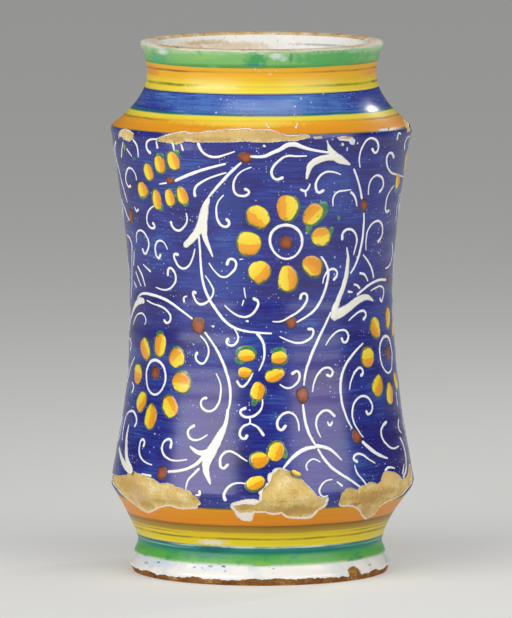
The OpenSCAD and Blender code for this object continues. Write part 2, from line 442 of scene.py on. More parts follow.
def fine_lines(tree, coords, height, colour, lines):
    """Soft lines drawn with a fine brush round the jar. Each is a level, a half width, a hex colour, and
    how strong it is at the front and elsewhere. At the neck and shoulder, a line fainter at the front is
    partly worn and partly faded by painted sheen."""
    depth = add(tree, "SeparateXYZ", {"Vector": coords}).outputs["Y"]
    uneven = add(tree, "MapRange", {"Value": grain(tree, coords, 12, 3.0), "From Min": 0.36,
                                    "From Max": 0.56, "To Min": 0.45})
    for z, half, code, front, elsewhere in lines:
        off = add(tree, "Math", {0: height, 1: z * MM}, operation="SUBTRACT")
        away = add(tree, "Math", {0: off.outputs["Value"]}, operation="ABSOLUTE")
        near = add(tree, "MapRange", {"Value": away.outputs["Value"], "From Min": half * MM,
                                      "From Max": half * 0.3 * MM})
        # Strength at the front: partly wear, and at the neck and shoulder partly painted sheen
        wear_and_sheen = add(tree, "MapRange", {"Value": depth, "From Min": FRONT_FADE_START, "From Max": FRONT_FADE_END,
                                        "To Min": front, "To Max": elsewhere})
        left = add(tree, "Math", {0: wear_and_sheen.outputs["Result"], 1: uneven.outputs["Result"]},
                   operation="MULTIPLY")
        cover = add(tree, "Math", {0: near.outputs["Result"], 1: left.outputs["Value"]},
                    operation="MULTIPLY")
        blend = add(tree, "Mix", {"Factor": cover.outputs["Value"], 6: colour, 7: tint(code)},
                    data_type="RGBA")
        colour = blend.outputs[2]
    return colour


def swayed_height(tree, coords, wander):
    """Height that drifts up and down by a wander in millimetres, as a hand-held brush does."""
    drift = grain(tree, coords, 22, 2.0)
    height = add(tree, "SeparateXYZ", {"Vector": coords}).outputs["Z"]
    sway = add(tree, "MapRange", {"Value": drift, "To Min": -wander * MM, "To Max": wander * MM})
    return add(tree, "Math", {0: height, 1: sway.outputs["Result"]}, operation="ADD").outputs["Value"]


def banded_glaze(name, z0, z1, stops, mottle, lines, marks):
    """A colour banded on the wheel: soft steps along its height, drawn out in streaks round the jar."""
    material, tree, shader, coords = start_material(name)
    fused_glaze(shader, 0.33, 0.28)
    streaks = grain(tree, coords, 1.3, 4.0, BRUSH)
    height = swayed_height(tree, coords, 0.5)
    share = add(tree, "MapRange", {"Value": height, "From Min": z0 * MM, "From Max": z1 * MM})
    places = [((z - z0) / (z1 - z0), code) for z, code in stops]
    colour = ramp(tree, share.outputs["Result"], places, smooth=False)
    if mottle:
        blot = grain(tree, coords, 5, 4.0, (0.6, 0.6, 1), 0.65)
        patch = add(tree, "MapRange", {"Value": blot, "From Min": 0.52, "From Max": 0.68, "To Max": 0.8})
        blend = add(tree, "Mix", {"Factor": patch.outputs["Result"], 6: colour, 7: tint(mottle)},
                    data_type="RGBA")
        colour = blend.outputs[2]
    colour = fine_lines(tree, coords, height, colour, lines)
    colour = blots(tree, coords, colour, marks)
    tone = add(tree, "MapRange", {"Value": streaks, "From Min": 0.25, "From Max": 0.75,
                                  "To Min": 0.84, "To Max": 1.0})
    shade = add(tree, "Mix", {"Factor": 1.0, 6: colour, 7: tone.outputs["Result"]},
                data_type="RGBA", blend_type="MULTIPLY")
    tree.links.new(shade.outputs[2], shader.inputs["Base Color"])
    bumped(tree, shader, streaks, 0.03, 0.5)
    return material


def tin_glaze(name, clear, pooled, stain, marks, back=Vector()):
    """White tin glaze: opaque, milky, with grey-blue pools and tan stains at its pits."""
    material, tree, shader, coords = start_material(name)
    fused_glaze(shader, 0.2)
    cloud = grain(tree, coords, 9, 4.0)
    fine = grain(tree, coords, 1.6, 3.0)
    milky = ramp(tree, cloud, [(0.3, pooled), (0.55, clear)])
    spots = ramp(tree, fine, [(0.66, "#000000"), (0.74, "#ffffff")])
    colour = add(tree, "Mix", {"Factor": spots, 6: milky, 7: tint(stain)}, data_type="RGBA")
    tree.links.new(blots(tree, coords, colour.outputs[2], marks, back), shader.inputs["Base Color"])
    bumped(tree, shader, cloud, 0.12, 0.4)
    return material


def bare_clay(name, dark, mid, pale, marks=()):
    """Bare fired earthenware: dull, sandy and pitted."""
    material, tree, shader, coords = start_material(name)
    shader.inputs["IOR"].default_value = 1.5
    shader.inputs["Roughness"].default_value = 0.85
    shader.inputs["Specular IOR Level"].default_value = 0.25
    cloud = grain(tree, coords, 6, 4.0)
    sand = grain(tree, coords, 0.9, 5.0, rough=0.7)
    rings = grain(tree, coords, 0.9, 3.0, (0.08, 0.08, 1))
    share = weighed(tree, [(cloud, 0.5), (sand, 0.36), (rings, 0.14)])
    colour = ramp(tree, share, [(0.36, dark), (0.48, mid), (0.62, pale)])
    colour = blots(tree, coords, colour, marks)
    specks = ramp(tree, sand, [(0.3, "#8f6c3a"), (0.38, "#ffffff")])
    gritted = add(tree, "Mix", {"Factor": 0.7, 6: colour, 7: specks},
                  data_type="RGBA", blend_type="MULTIPLY")
    tree.links.new(gritted.outputs[2], shader.inputs["Base Color"])
    bumped(tree, shader, sand, 0.35, 0.8)
    return material


def cobalt_wash(name, stops, lines, marks):
    """Cobalt washed over tin glaze with a broad brush: deep violet blue, paler where the brush ran dry,
    with pinholes that show the white."""
    material, tree, shader, coords = start_material(name)
    fused_glaze(shader, 0.22, 0.45)
    lengthwise = grain(tree, coords, 0.75, 4.0, (0.06, 0.06, 1), 0.6)
    broad = grain(tree, coords, 8, 3.0, (0.3, 0.3, 1))
    cloud = grain(tree, coords, 24, 3.0)
    share = weighed(tree, [(lengthwise, 0.42), (broad, 0.28), (cloud, 0.3)])
    # The marks also paint sheen and reflection tints into the blue, besides its own patches
    colour = blots(tree, coords, ramp(tree, share, stops), marks)
    colour = fine_lines(tree, coords, swayed_height(tree, coords, 0.4), colour, lines)
    for spacing, most, gather in ((1.0, 0.3, 11), (2.3, 0.2, 17)):
        pits = add(tree, "TexVoronoi", {"Vector": coords, "Scale": 1 / (spacing * MM)}, feature="F1")
        rare = grain(tree, coords, gather, 2.0)
        chance = add(tree, "SeparateColor", {"Color": pits.outputs["Color"]})
        few = add(tree, "Math", {0: rare, 1: chance.outputs["Red"]}, operation="MULTIPLY")
        reach = add(tree, "MapRange", {"Value": few.outputs["Value"], "From Min": 0.33, "From Max": 0.6,
                                       "To Max": most})
        hole = add(tree, "Math", {0: pits.outputs["Distance"], 1: reach.outputs["Result"]},
                   operation="LESS_THAN")
        mix = add(tree, "Mix", {"Factor": hole.outputs["Value"], 6: colour, 7: tint("#b4bce2")},
                  data_type="RGBA")
        colour = mix.outputs[2]
    tree.links.new(colour, shader.inputs["Base Color"])
    bumped(tree, shader, broad, 0.1, 0.6)
    return material


def brushed_white(name, thin, full):
    """Tin white laid on with a loaded brush: creamy in the middle, with the blue showing at its edges."""
    material, tree, shader, coords = start_material(name)
    fused_glaze(shader, 0.22)
    load = add(tree, "Attribute", attribute_name="load").outputs["Fac"]
    cloud = grain(tree, coords, 2.2, 3.0)
    wavy = add(tree, "MapRange", {"Value": cloud, "From Min": 0.3, "From Max": 0.7,
                                  "To Min": -0.35, "To Max": 0.25})
    laid = add(tree, "Math", {0: load, 1: wavy.outputs["Result"]}, operation="ADD")
    colour = ramp(tree, laid.outputs["Value"], [(0.0, "#5a62b0"), (0.3, thin), (0.6, full), (1.0, full)])
    tree.links.new(colour, shader.inputs["Base Color"])
    return material


def petal_glaze():
    """Antimony yellow with orange down one side, and an olive fringe where it ran into the blue."""
    material, tree, shader, coords = start_material("antimony_petal_glaze")
    fused_glaze(shader)
    uv = add(tree, "UVMap", uv_map="petal").outputs["UV"]
    across = add(tree, "SeparateXYZ", {"Vector": uv}).outputs["X"]
    ripe = add(tree, "Attribute", attribute_name="ripe").outputs["Fac"]
    daub = grain(tree, coords, 1.8, 4.0)
    wavy = add(tree, "MapRange", {"Value": daub, "To Min": -0.14, "To Max": 0.14})
    side = add(tree, "Math", {0: across, 1: wavy.outputs["Result"]}, operation="ADD")
    ripened = add(tree, "Math", {0: side.outputs["Value"], 1: ripe}, operation="SUBTRACT")
    body = ramp(tree, ripened.outputs["Value"],
                [(0.1, "#e8961a"), (0.33, "#f2a61c"), (0.42, "#f0a21c"), (0.5, "#f8d42c"),
                 (0.9, "#fae04a")])
    middle = add(tree, "VectorMath", {0: uv, 1: (0.5, 0.5, 0.0)}, operation="DISTANCE")
    edge = add(tree, "MapRange", {"Value": daub, "From Min": 0.3, "From Max": 0.7,
                                  "To Min": -0.12, "To Max": 0.12})
    frayed = add(tree, "Math", {0: middle.outputs["Value"], 1: edge.outputs["Result"]}, operation="ADD")
    fringe = add(tree, "MapRange", {"Value": frayed.outputs["Value"], "From Min": 0.44, "From Max": 0.54})
    colour = add(tree, "Mix", {"Factor": fringe.outputs["Result"], 6: body, 7: tint("#7c7a24")},
                 data_type="RGBA")
    tree.links.new(colour.outputs[2], shader.inputs["Base Color"])
    return material


def rust_glaze():
    """Iron red: dull rust, darker where the paint pooled at the edge."""
    material, tree, shader, coords = start_material("iron_rust_glaze")
    fused_glaze(shader, 0.35)
    uv = add(tree, "UVMap", uv_map="petal").outputs["UV"]
    middle = add(tree, "VectorMath", {0: uv, 1: (0.5, 0.5, 0.0)}, operation="DISTANCE")
    daub = grain(tree, coords, 1.5, 3.0)
    wavy = add(tree, "MapRange", {"Value": daub, "To Min": -0.3, "To Max": 0.3})
    frayed = add(tree, "Math", {0: middle.outputs["Value"], 1: wavy.outputs["Result"]}, operation="ADD")
    colour = ramp(tree, frayed.outputs["Value"], [(0.08, "#a34c1c"), (0.3, "#853a10"), (0.46, "#472818")])
    tree.links.new(colour, shader.inputs["Base Color"])
    return material


def green_wash(name, deep, mid, pale):
    """Copper green let run beside the petals, bluer where it is thin."""
    material, tree, shader, coords = start_material(name)
    fused_glaze(shader)
    cloud = grain(tree, coords, 2.5, 3.0)
    colour = ramp(tree, cloud, [(0.3, deep), (0.5, mid), (0.7, pale)])
    tree.links.new(colour, shader.inputs["Base Color"])
    return material


# Patches seen in the photograph: pixel, width, height, colour, strength
CLAY_PATCHES_AND_SHADE = [
    (128, 486, 34, 16, "#bd9450", 0.6), (138, 497, 20, 22, "#dcb98e", 0.6),
    # Darker brown along the bottom of the middle loss, at 246, 508 and 292, 511, is painted shade
    (146, 505, 14, 9, "#b98c50", 0.5), (292, 511, 72, 11, "#b08846", 0.65),
    (246, 508, 22, 7, "#b89252", 0.4), (268, 136, 44, 10, "#bd9c5c", 0.6),
    (368, 499, 34, 16, "#bd8c4c", 0.7), (356, 505, 10, 5, "#8f6c2e", 0.6),
    (225, 137, 160, 12, "#c4a469", 0.6), (176, 139, 22, 7, "#b08c48", 0.5),
    (212, 139.6, 46, 5, "#ac8846", 0.5), (238, 134, 26, 5, "#d8ba7c", 0.5),
    (170, 503, 46, 6, "#c9a75c", 0.6), (390, 479, 24, 14, "#f2cc88", 0.75),
    (366, 511, 16, 14, "#d0a470", 0.7), (388, 492, 26, 7, "#c08a4e", 0.5),
    (133, 480, 22, 9, "#dcb878", 0.6),
]
WHITE_MARKS = [
    (158, 561, 54, 12, "#cddde8", 0.65), (207, 567, 46, 8, "#cbd8ea", 0.6),
    (223.7, 566.4, 4, 2.4, "#2c3450", 0.9), (158, 562.4, 3.2, 1.8, "#4a4a52", 0.8),
    (210, 566.5, 6, 2, "#66708a", 0.7), (146, 563, 5, 2.2, "#8a98a8", 0.6),
    (194.6, 567.4, 3.4, 1.6, "#5c6480", 0.7), (202, 568, 2.4, 1.6, "#4c6e7c", 0.6),
    (225.4, 571.4, 2, 1.6, "#8c93a8", 0.6), (273.5, 568.6, 2.4, 1.6, "#71849a", 0.7),
    (370, 565, 3, 2, "#6d8a86", 0.6), (160, 496, 120, 44, "#fff3da", 0.9),
    (283, 498, 120, 60, "#fff5e0", 0.85), (375, 494, 96, 62, "#fff3da", 0.9),
    (346, 138, 13, 2.6, "#c9a468", 0.85), (318, 137.4, 9, 2.2, "#d0ae78", 0.75),
]
LINING_MARKS = [
    (172, 43, 96, 16, "#ecd6ac", 0.8), (236, 44.5, 66, 9, "#e2c698", 0.7),
    (158, 40, 44, 7, "#c79c62", 0.5), (205, 39.5, 44, 5, "#cfa66c", 0.55),
    (325, 42, 66, 2.2, "#8e948e", 0.6), (330, 38, 70, 5, "#f8f8f4", 0.7),
]
LIP_MARKS = [
    (205, 48.6, 90, 4, "#efe4cc", 0.7), (262, 50, 60, 4, "#f2ead8", 0.7),
    (330, 48.5, 70, 4, "#eee6d4", 0.75), (146, 43, 30, 9, "#f6f1e4", 0.8),
    (378, 42, 34, 9, "#f6f1e4", 0.8),
]
BODY_PATCHES_AND_REFLECTIONS = [
    (183, 146.5, 34, 9, "#7e7aba", 0.4), (386, 452, 58, 76, "#261b6e", 0.65),
    # The violet patches at 203, 425; 318, 410; 186, 474 and 322, 470 are painted reflection: the purple
    # cast of the softboxes' reflections on the lower body
    (203, 425, 66, 110, "#462a80", 0.5), (318, 410, 62, 110, "#4a2c82", 0.5),
    (186, 474, 70, 44, "#4a2a88", 0.5), (322, 470, 56, 44, "#4a2a88", 0.5),
    (150, 300, 70, 60, "#231a6a", 0.4), (380, 250, 60, 120, "#2a2280", 0.4),
    (337, 188, 38, 46, "#3f5cae", 0.45), (228, 206, 40, 60, "#33509e", 0.35),
    (222, 270, 60, 50, "#34529e", 0.35),
]
COLLAR_PATCHES_AND_SHEEN = [
    # The two pale marks across the front are partly painted sheen and partly the paler streaks of the brush
    (268, 104, 190, 30, "#567cbe", 0.42), (266, 106, 70, 12, "#7096cc", 0.25),
    (160, 106, 30, 12, "#2d2b8c", 0.55), (372, 98, 38, 12, "#2e2c90", 0.55),
]

BODY_BLUES = [(0.38, "#1b155c"), (0.46, "#222178"), (0.53, "#26338c"), (0.63, "#395ca4")]
COLLAR_BLUES = [(0.38, "#28277f"), (0.47, "#2f429c"), (0.54, "#3f66b2"), (0.64, "#6490c8")]
COLLAR_LINES = [
    (192.9, 0.5, "#12695a", 1, 1), (200.7, 0.45, "#252f7c", 0.7, 1), (194.1, 0.3, "#252f86", 0.3, 1)]

buff = bare_clay("buff_earthenware", "#c9a052", "#e3c478", "#f1dea6", CLAY_PATCHES_AND_SHADE)
brown = bare_clay("foot_earthenware", "#633c18", "#8e5c2a", "#c0904f")
worn = bare_clay("worn_lip_earthenware", "#b07c3e", "#d6b680", "#efe9dc", LIP_MARKS)
white = tin_glaze("white_tin_glaze", "#f6f3ee", "#d9e2e8", "#e2d3b4", WHITE_MARKS)
lining = tin_glaze("cream_tin_lining", "#fcf9f2", "#eeede8", "#d6b884", LINING_MARKS, FAR_WALL)
cobalt = cobalt_wash("cobalt_ground_wash", BODY_BLUES, [], BODY_PATCHES_AND_REFLECTIONS)
collar = cobalt_wash("cobalt_collar_wash", COLLAR_BLUES, COLLAR_LINES, COLLAR_PATCHES_AND_SHEEN)
scroll_white = brushed_white("tin_white_scrolls", "#ccceea", "#faf9f8")
leaf_white = brushed_white("tin_white_leaves", "#dcdce8", "#f6f3e4")


# Glaze losses, outlined by the pixels of the photograph where their edges show; a third number carries a
# corner on round the limb, in degrees

LEFT_LOSS = [
    (111.7, 475.3, -16), (117.6, 475.7), (125.4, 475), (128.9, 471.8), (133.1, 471.1), (136.6, 473.2),
    (142.9, 474.6), (147.1, 477.1), (152.7, 478.8), (155.5, 480.9), (159.7, 483.8), (168.2, 483.1),
    (171, 484.1), (175.2, 486.9), (180.8, 488), (184.3, 490.1), (189.9, 490.8), (192.7, 495),
    (196.9, 497.1), (199, 500.2), (200.8, 503.8), (197.6, 505.5), (196.9, 508.7), (189.2, 508.7),
    (182.9, 509.4), (175.2, 508), (169.6, 506.2), (165.4, 506.2), (158.3, 508.3), (152.7, 511.1),
    (148.5, 512.9), (144.3, 512.5), (138.7, 509), (133.1, 504.5), (126.1, 499.2), (119, 493.6),
    (114.8, 488), (113, 484, -16)]
MIDDLE_LOSS = [
    (230.1, 506.1), (233.1, 502.4), (239.8, 500.9), (247.1, 499), (254.5, 499), (259, 500.6),
    (259.7, 495), (258.2, 492.8), (261.2, 487.6), (264.2, 484.6), (268.6, 482.4), (267.5, 477.2),
    (268.2, 473.9), (272.3, 472.1), (273.8, 469.1), (278.2, 467.6), (282.7, 468.4), (288.6, 470.6),
    (296, 474.6), (301.9, 479.4), (307.8, 485.4), (313, 490.5), (317.4, 495.7), (321.1, 497.6),
    (328.5, 497.2), (327.8, 502.4), (326.3, 506.1), (322.6, 508.3), (318.2, 510.5), (315.2, 515),
    (310.8, 518.3), (303.4, 519), (296, 518.7), (287.8, 517.9), (284.1, 516.4), (281.2, 513.1),
    (276.7, 514.6), (270.8, 514.6), (264.9, 512.7), (254.5, 512.7), (253.1, 516.4), (251.6, 520.9),
    (244.2, 520.9), (239.8, 518.7), (236.1, 515.7), (234.6, 511.3), (230.9, 508.3)]
# The clay shows within a smaller outline, with white glaze left round its left end
MIDDLE_CLAY = [
    (233.1, 506.1), (239, 505.3), (244.2, 504.2), (254.5, 505), (259, 503), (262, 500.2), (262.2, 493.5),
    (264, 488), (268.4, 485), (271.2, 480.2), (272.3, 475), (275.3, 472.1), (279, 469.3), (283.2, 470),
    (288.5, 471), (295.8, 475), (301.6, 479.8), (307.4, 485.8), (312.6, 490.9), (317, 496.1),
    (320.6, 498.4), (327, 498.3), (325.5, 504.6), (320.4, 507.8), (316.2, 510.4), (312.6, 514.2),
    (307.1, 516.6), (296, 516.9), (288, 516), (285.2, 514.4), (282, 511.8), (276.7, 512.7),
    (270.8, 512.7), (264.9, 511.2), (254.5, 511.2), (251.6, 512.5), (239.8, 512.5), (236.1, 509.8)]
RIGHT_LOSS = [
    (339.2, 505.7), (339.2, 502.1), (341, 495.5), (344, 491.3), (347.6, 488.3), (351.8, 487.7),
    (354.2, 488.9), (357.8, 490.1), (360.2, 486.8), (363.8, 485.3), (367.4, 483.5), (371, 482),
    (374, 482.3), (378.1, 484.1), (381.1, 481.1), (382.3, 475.7), (384.1, 472.1), (387.1, 471.2),
    (391.3, 471.5), (395.5, 472.4), (399.1, 474.5), (403.3, 479.3), (406.3, 477.5), (408.1, 475.1),
    (408.7, 470.4), (409.3, 464.4), (411, 462, 10), (412, 474, 14), (411.5, 485, 8), (408.1, 488.9, 6),
    (402.7, 495.5), (395.5, 499.1), (389.5, 501.5), (384.7, 503.9), (379.9, 507.5), (378.1, 511.7),
    (376.3, 514.1), (370.3, 517.1), (367.4, 520.7), (364.4, 518.3), (361.4, 514.7), (359.6, 511.1),
    (355.4, 508.1), (352.4, 506.6), (346.4, 506.6), (342.2, 506.9)]
EDGE_LOSS = [
    (155, 139), (161, 136.5), (167, 134.5), (175, 132.5), (183, 131), (191, 132.5), (200, 132.5),
    (207, 130.5), (215, 130.5), (225, 129), (235, 129), (247, 128), (253, 129.5), (261.2, 129.2),
    (268.5, 129.2), (274.8, 130.7), (280, 133.3), (286.2, 134.9), (298, 135), (307, 134.4),
    (311.1, 137.2), (300.7, 139.6), (296.6, 141.1), (286.2, 140.6), (270.6, 142.2), (255, 142.2),
    (245, 141), (235, 142), (215, 142), (195, 142), (185, 141), (181, 143), (175, 144.5), (170, 143),
    (165, 142), (159, 141.5)]
EDGE_LEFT = [
    (118, 133), (119, 131), (125, 128.5), (130, 130.5), (134, 134), (133, 139), (129, 141.5),
    (124, 139.5), (121, 136.5), (118, 139)]
EDGE_RIGHT = [
    (405.7, 127.1), (404.6, 122.6), (404, 119.6), (403.6, 118.4, 6), (405, 119.4, 14), (406.8, 127, 22),
    (406.8, 132.8, 22), (406.8, 132.8, 8), (406.8, 132.8)]
FOOT_NOTCH = [
    (347.9, 570.4), (351.4, 567.3), (355, 566.4), (359.5, 569.1), (361.3, 571.8), (361, 580),
    (349.5, 580)]
# Flakes that leave the white glaze
FLAKES = [
    [(337, 137.5), (344, 136), (353, 137), (356, 140), (355, 145), (351, 144.5), (349, 141),
     (340, 140.5)],
    [(326.6, 140), (328.6, 140.6), (329.6, 145), (327.4, 144.6)],
    [(313, 137), (322, 135.8), (323.4, 138.2), (315, 139.2)],
    [(378.7, 129), (384, 127.6), (389.4, 128), (388, 130.4), (380, 131)],
    [(341.4, 143.6), (343.6, 142.4), (345, 145), (342.8, 146.6)],
    [(347, 147.6), (348.8, 147), (348.4, 151), (346.8, 151.4)],
    [(357, 142.4), (358.6, 141.8), (359, 144), (357.4, 144.6)],
    [(331.4, 139), (334, 138.4), (334.4, 139.8), (331.8, 140.2)],
]


def placed(corners):
    """Corners in pixels as (degrees from the front, height) on the jar."""
    flat = []
    for x, y, *onward in corners:
        angle, z = spot(x, y)
        flat.append(Vector((math.degrees(angle) + sum(onward), z)))
    return flat


def sides(flat):
    """Sides of a closed outline, as pairs of corners."""
    return zip(flat, flat[1:] + flat[:1])


def edge_gap(point, flat):
    """Distance from a point to the nearest side of a closed outline."""
    gaps = []
    for here, there in sides(flat):
        share = geometry.intersect_point_line(point, here, there)[1]
        foot = here + (there - here) * min(1.0, max(0.0, share))
        gaps.append((foot - point).length)
    return min(gaps)


def within(point, flat):
    """Whether a point lies inside a closed outline."""
    crossed = False
    for a, b in sides(flat):
        if (a.y > point.y) == (b.y > point.y):
            continue
        if point.x < a.x + (b.x - a.x) * (point.y - a.y) / (b.y - a.y):
            crossed = not crossed
    return crossed


# Width of a shelly bite, the places of its points, and how far its cusps stray
SHELL_W = 1.7
SHELL_POINTS = (0.0, 0.2, 0.5, 0.8)
CUSP_STRAY = 0.3


def broken_edge(corners, inset, bite, white_side):
    """A broken glaze edge through the corners: shelly bites between small cusps, drawn in by an uneven
    inset that is widest along the lower sides (white_side 1) or the upper sides (-1)."""
    flat = placed(corners)
    chance = random.Random(round(corners[0][0] * 10))
    turn = sum(a.x * b.y - b.x * a.y for a, b in sides(flat))
    points = []
    for here, there in sides(flat):
        side = there - here
        inward = Vector((-side.y, side.x)).normalized() * math.copysign(1, turn)
        count = max(1, round(side.length / SHELL_W))
        strays = [(i + chance.uniform(-CUSP_STRAY, CUSP_STRAY)) / count for i in range(1, count)]
        cusps = [0.0] + strays + [1.0]
        for c0, c1 in zip(cusps, cusps[1:]):
            deep = bite * min(1.0, (c1 - c0) * side.length / SHELL_W) * chance.uniform(0.4, 1.0)
            for t in SHELL_POINTS:
                base = here + side * (c0 + (c1 - c0) * t)
                drawn = inset * (0.25 + 0.75 * max(0.0, white_side * inward.y))
                drawn *= 1 + 0.6 * noise.noise(Vector((base.x * 0.25, base.y * 0.25, 0)))
                if edge_gap(base + inward * drawn, flat) >= drawn * 0.93 - 0.001:
                    points.append(base + inward * (drawn - deep * math.sin(math.pi * t)))
    return [(math.radians(p.x), p.y) for p in points]


# Cutting blocks reach from well outside the jar to this far under the coats
BLOCK_R = 80
BLOCK_SINK = 0.9


def loss_blocks(edges):
    """Blocks through the coats whose sides follow broken edges, as one object."""
    blocks = bpy.data.meshes.new("losses")
    whole = bmesh.new()
    for edge in edges:
        bm = bmesh.new()
        outer = []
        for a, z in edge:
            outer.append(bm.verts.new(Vector((math.sin(a) * BLOCK_R, -math.cos(a) * BLOCK_R, z)) * MM))
        inner = [bm.verts.new(thrown(a, COAT_T + BLOCK_SINK, z)) for a, z in edge]
        for i in range(len(edge)):
            j = (i + 1) % len(edge)
            bm.faces.new((outer[i], outer[j], inner[j], inner[i]))
        caps = [bm.faces.new(outer), bm.faces.new(inner)]
        bmesh.ops.triangulate(bm, faces=caps)
        bmesh.ops.recalc_face_normals(bm, faces=bm.faces)
        if bm.calc_volume(signed=True) < 0:
            bmesh.ops.reverse_faces(bm, faces=bm.faces)
        bm.to_mesh(blocks)
        bm.free()
        whole.from_mesh(blocks)
    whole.to_mesh(blocks)
    whole.free()
    return blocks


def chipped(bm, losses):
    """The coat with its losses cut out. Each loss is its corners, an inset, a bite and a white side."""
    mesh = bpy.data.meshes.new("coat")
    bm.to_mesh(mesh)
    bm.free()
    blank = put("coat", mesh)
    cutter = put("losses", loss_blocks([broken_edge(*loss) for loss in losses]))
    cut = blank.modifiers.new("losses", "BOOLEAN")
    cut.operation = "DIFFERENCE"
    cut.solver = "EXACT"
    cut.object = cutter
    done = blank.evaluated_get(bpy.context.evaluated_depsgraph_get()).to_mesh()
    bm = bmesh.new()
    bm.from_mesh(done)
    for leftover in (blank, cutter):
        bpy.data.objects.remove(leftover)
    return bm


# Depth of the bites in shelly, notched and smooth breaks, and the white rim left at the belly and the edge
BITE = 0.34
NOTCH_BITE = 0.25
SMOOTH_BITE = 0.1
BELLY_RIM = 0.75
EDGE_RIM = 0.5
EDGE_LOSSES = (EDGE_LOSS, EDGE_LEFT, EDGE_RIGHT)
COLOUR_LOSSES = [(corners, 0.0, BITE, 1) for corners in (LEFT_LOSS, MIDDLE_LOSS, RIGHT_LOSS)]
COLOUR_LOSSES += [(corners, 0.0, BITE, -1) for corners in EDGE_LOSSES]
COLOUR_LOSSES += [(corners, 0.0, SMOOTH_BITE, 1) for corners in FLAKES]
TIN_LOSSES = [(LEFT_LOSS, BELLY_RIM, BITE, 1), (MIDDLE_CLAY, 0.0, SMOOTH_BITE, 1),
              (RIGHT_LOSS, BELLY_RIM, BITE, 1)]
TIN_LOSSES += [(corners, EDGE_RIM, BITE, -1) for corners in EDGE_LOSSES]
TIN_LOSSES += [(FOOT_NOTCH, 0.0, NOTCH_BITE, 1)]
BARE = [placed(corners) for corners in (LEFT_LOSS, MIDDLE_CLAY, RIGHT_LOSS, *EDGE_LOSSES)]
BARE_LEVELS = [(min(p.y for p in flat), max(p.y for p in flat)) for flat in BARE]


# Coats and clay

# Distances over which ragged ends fade into the coat, and a break grows rough from its edge
EDGE_FADE = 2.5
BREAK_RISE = 2.0


def on_round(angle, r, z):
    """Place on a cylinder, where the noise of an edge or a break is looked up."""
    return Vector((math.sin(angle) * r, math.cos(angle) * r, z))


def fade(gap):
    """Share of an edge's raggedness that is left at a gap from it."""
    return max(0.0, 1 - gap / EDGE_FADE)


def fracture(angle, z):
    """Rough face of the clay where the glaze broke away: always inward, and level with the glaze's foot at
    its edge."""
    here = Vector((math.degrees(angle), z))
    for flat, (bottom, top) in zip(BARE, BARE_LEVELS):
        if bottom < z < top and within(here, flat):
            p = on_round(angle, 60, z) / 6
            rough = 0.35 + 0.3 * (1 + noise.fractal(p, 1.0, 2.0, 3))
            return min(1.0, edge_gap(here, flat) / BREAK_RISE) * rough
    return 0.0


def foot_drip(angle, z):
    """Ragged lower edge of the glaze on the foot."""
    p = on_round(angle, 54, 3)
    teeth = 0.65 * noise.fractal(p / 7, 1.0, 2.0, 3) + 0.6 * noise.noise(p / 1.2)
    return teeth * fade(z - Z_BARE)


def lip_wear(angle, z):
    """Worn upper edge of the glaze on the lip."""
    p = on_round(angle, 51, 70) / 8
    wear = 0.2 - 0.5 * noise.fractal(p, 1.0, 2.0, 4)
    return min(0.5, wear) * fade(Z_LIP_GLAZE - z)


def banding(angle, z):
    """Slow wander of the banding brush as the wheel turned."""
    return 0.18 * math.sin(angle + z) + 0.12 * math.sin(2 * angle + 1.3 * z)


def glaze_edges(angle, z):
    """Both ends of the white coat; at the lip it shows a little above the green."""
    return foot_drip(angle, z) + lip_wear(angle, z) * 0.5 + 0.35 * fade(Z_LIP_GLAZE - z)


def band_edges(angle, z):
    """Edges of the painted bands: worn at the lip, wandering elsewhere."""
    if z > Z_LIP_GREEN + 2:
        return lip_wear(angle, z)
    return banding(angle, z)


# Heights or widths between the rows of points of each outline
FOOT_ROW = 0.8
FLOOR_ROW = 5
BREAK_ROW = 1.0
INSIDE_ROW = 4
NECK_ROW = 1.5
DRIP_ROW = 0.7
WHITE_ROW = 3.2
LINING_ROW = 2
GROUND_ROW = 1.6
BAND_ROW = 0.8
# The middle of the lip's rounded corners lies this far in and down
LIP_EASE = LIP_ROUND * 0.3


def lap(z):
    """The joint of two sections, halfway through the wall: its foot and its top."""
    return [(clay_mid(z), z), (clay_mid(z + LAP_H), z + LAP_H)]


def clay_profile(z0, z1):
    """A thrown section whose inner half is lapped up into the section above."""
    outer = [(clay_out(z), z) for z in rows(z0, z1, BREAK_ROW)]
    inner = [(clay_in(z), z) for z in reversed(rows(z0 + LAP_H, z1 + LAP_H, INSIDE_ROW))]
    return outer + lap(z1) + inner + lap(z0)[::-1]


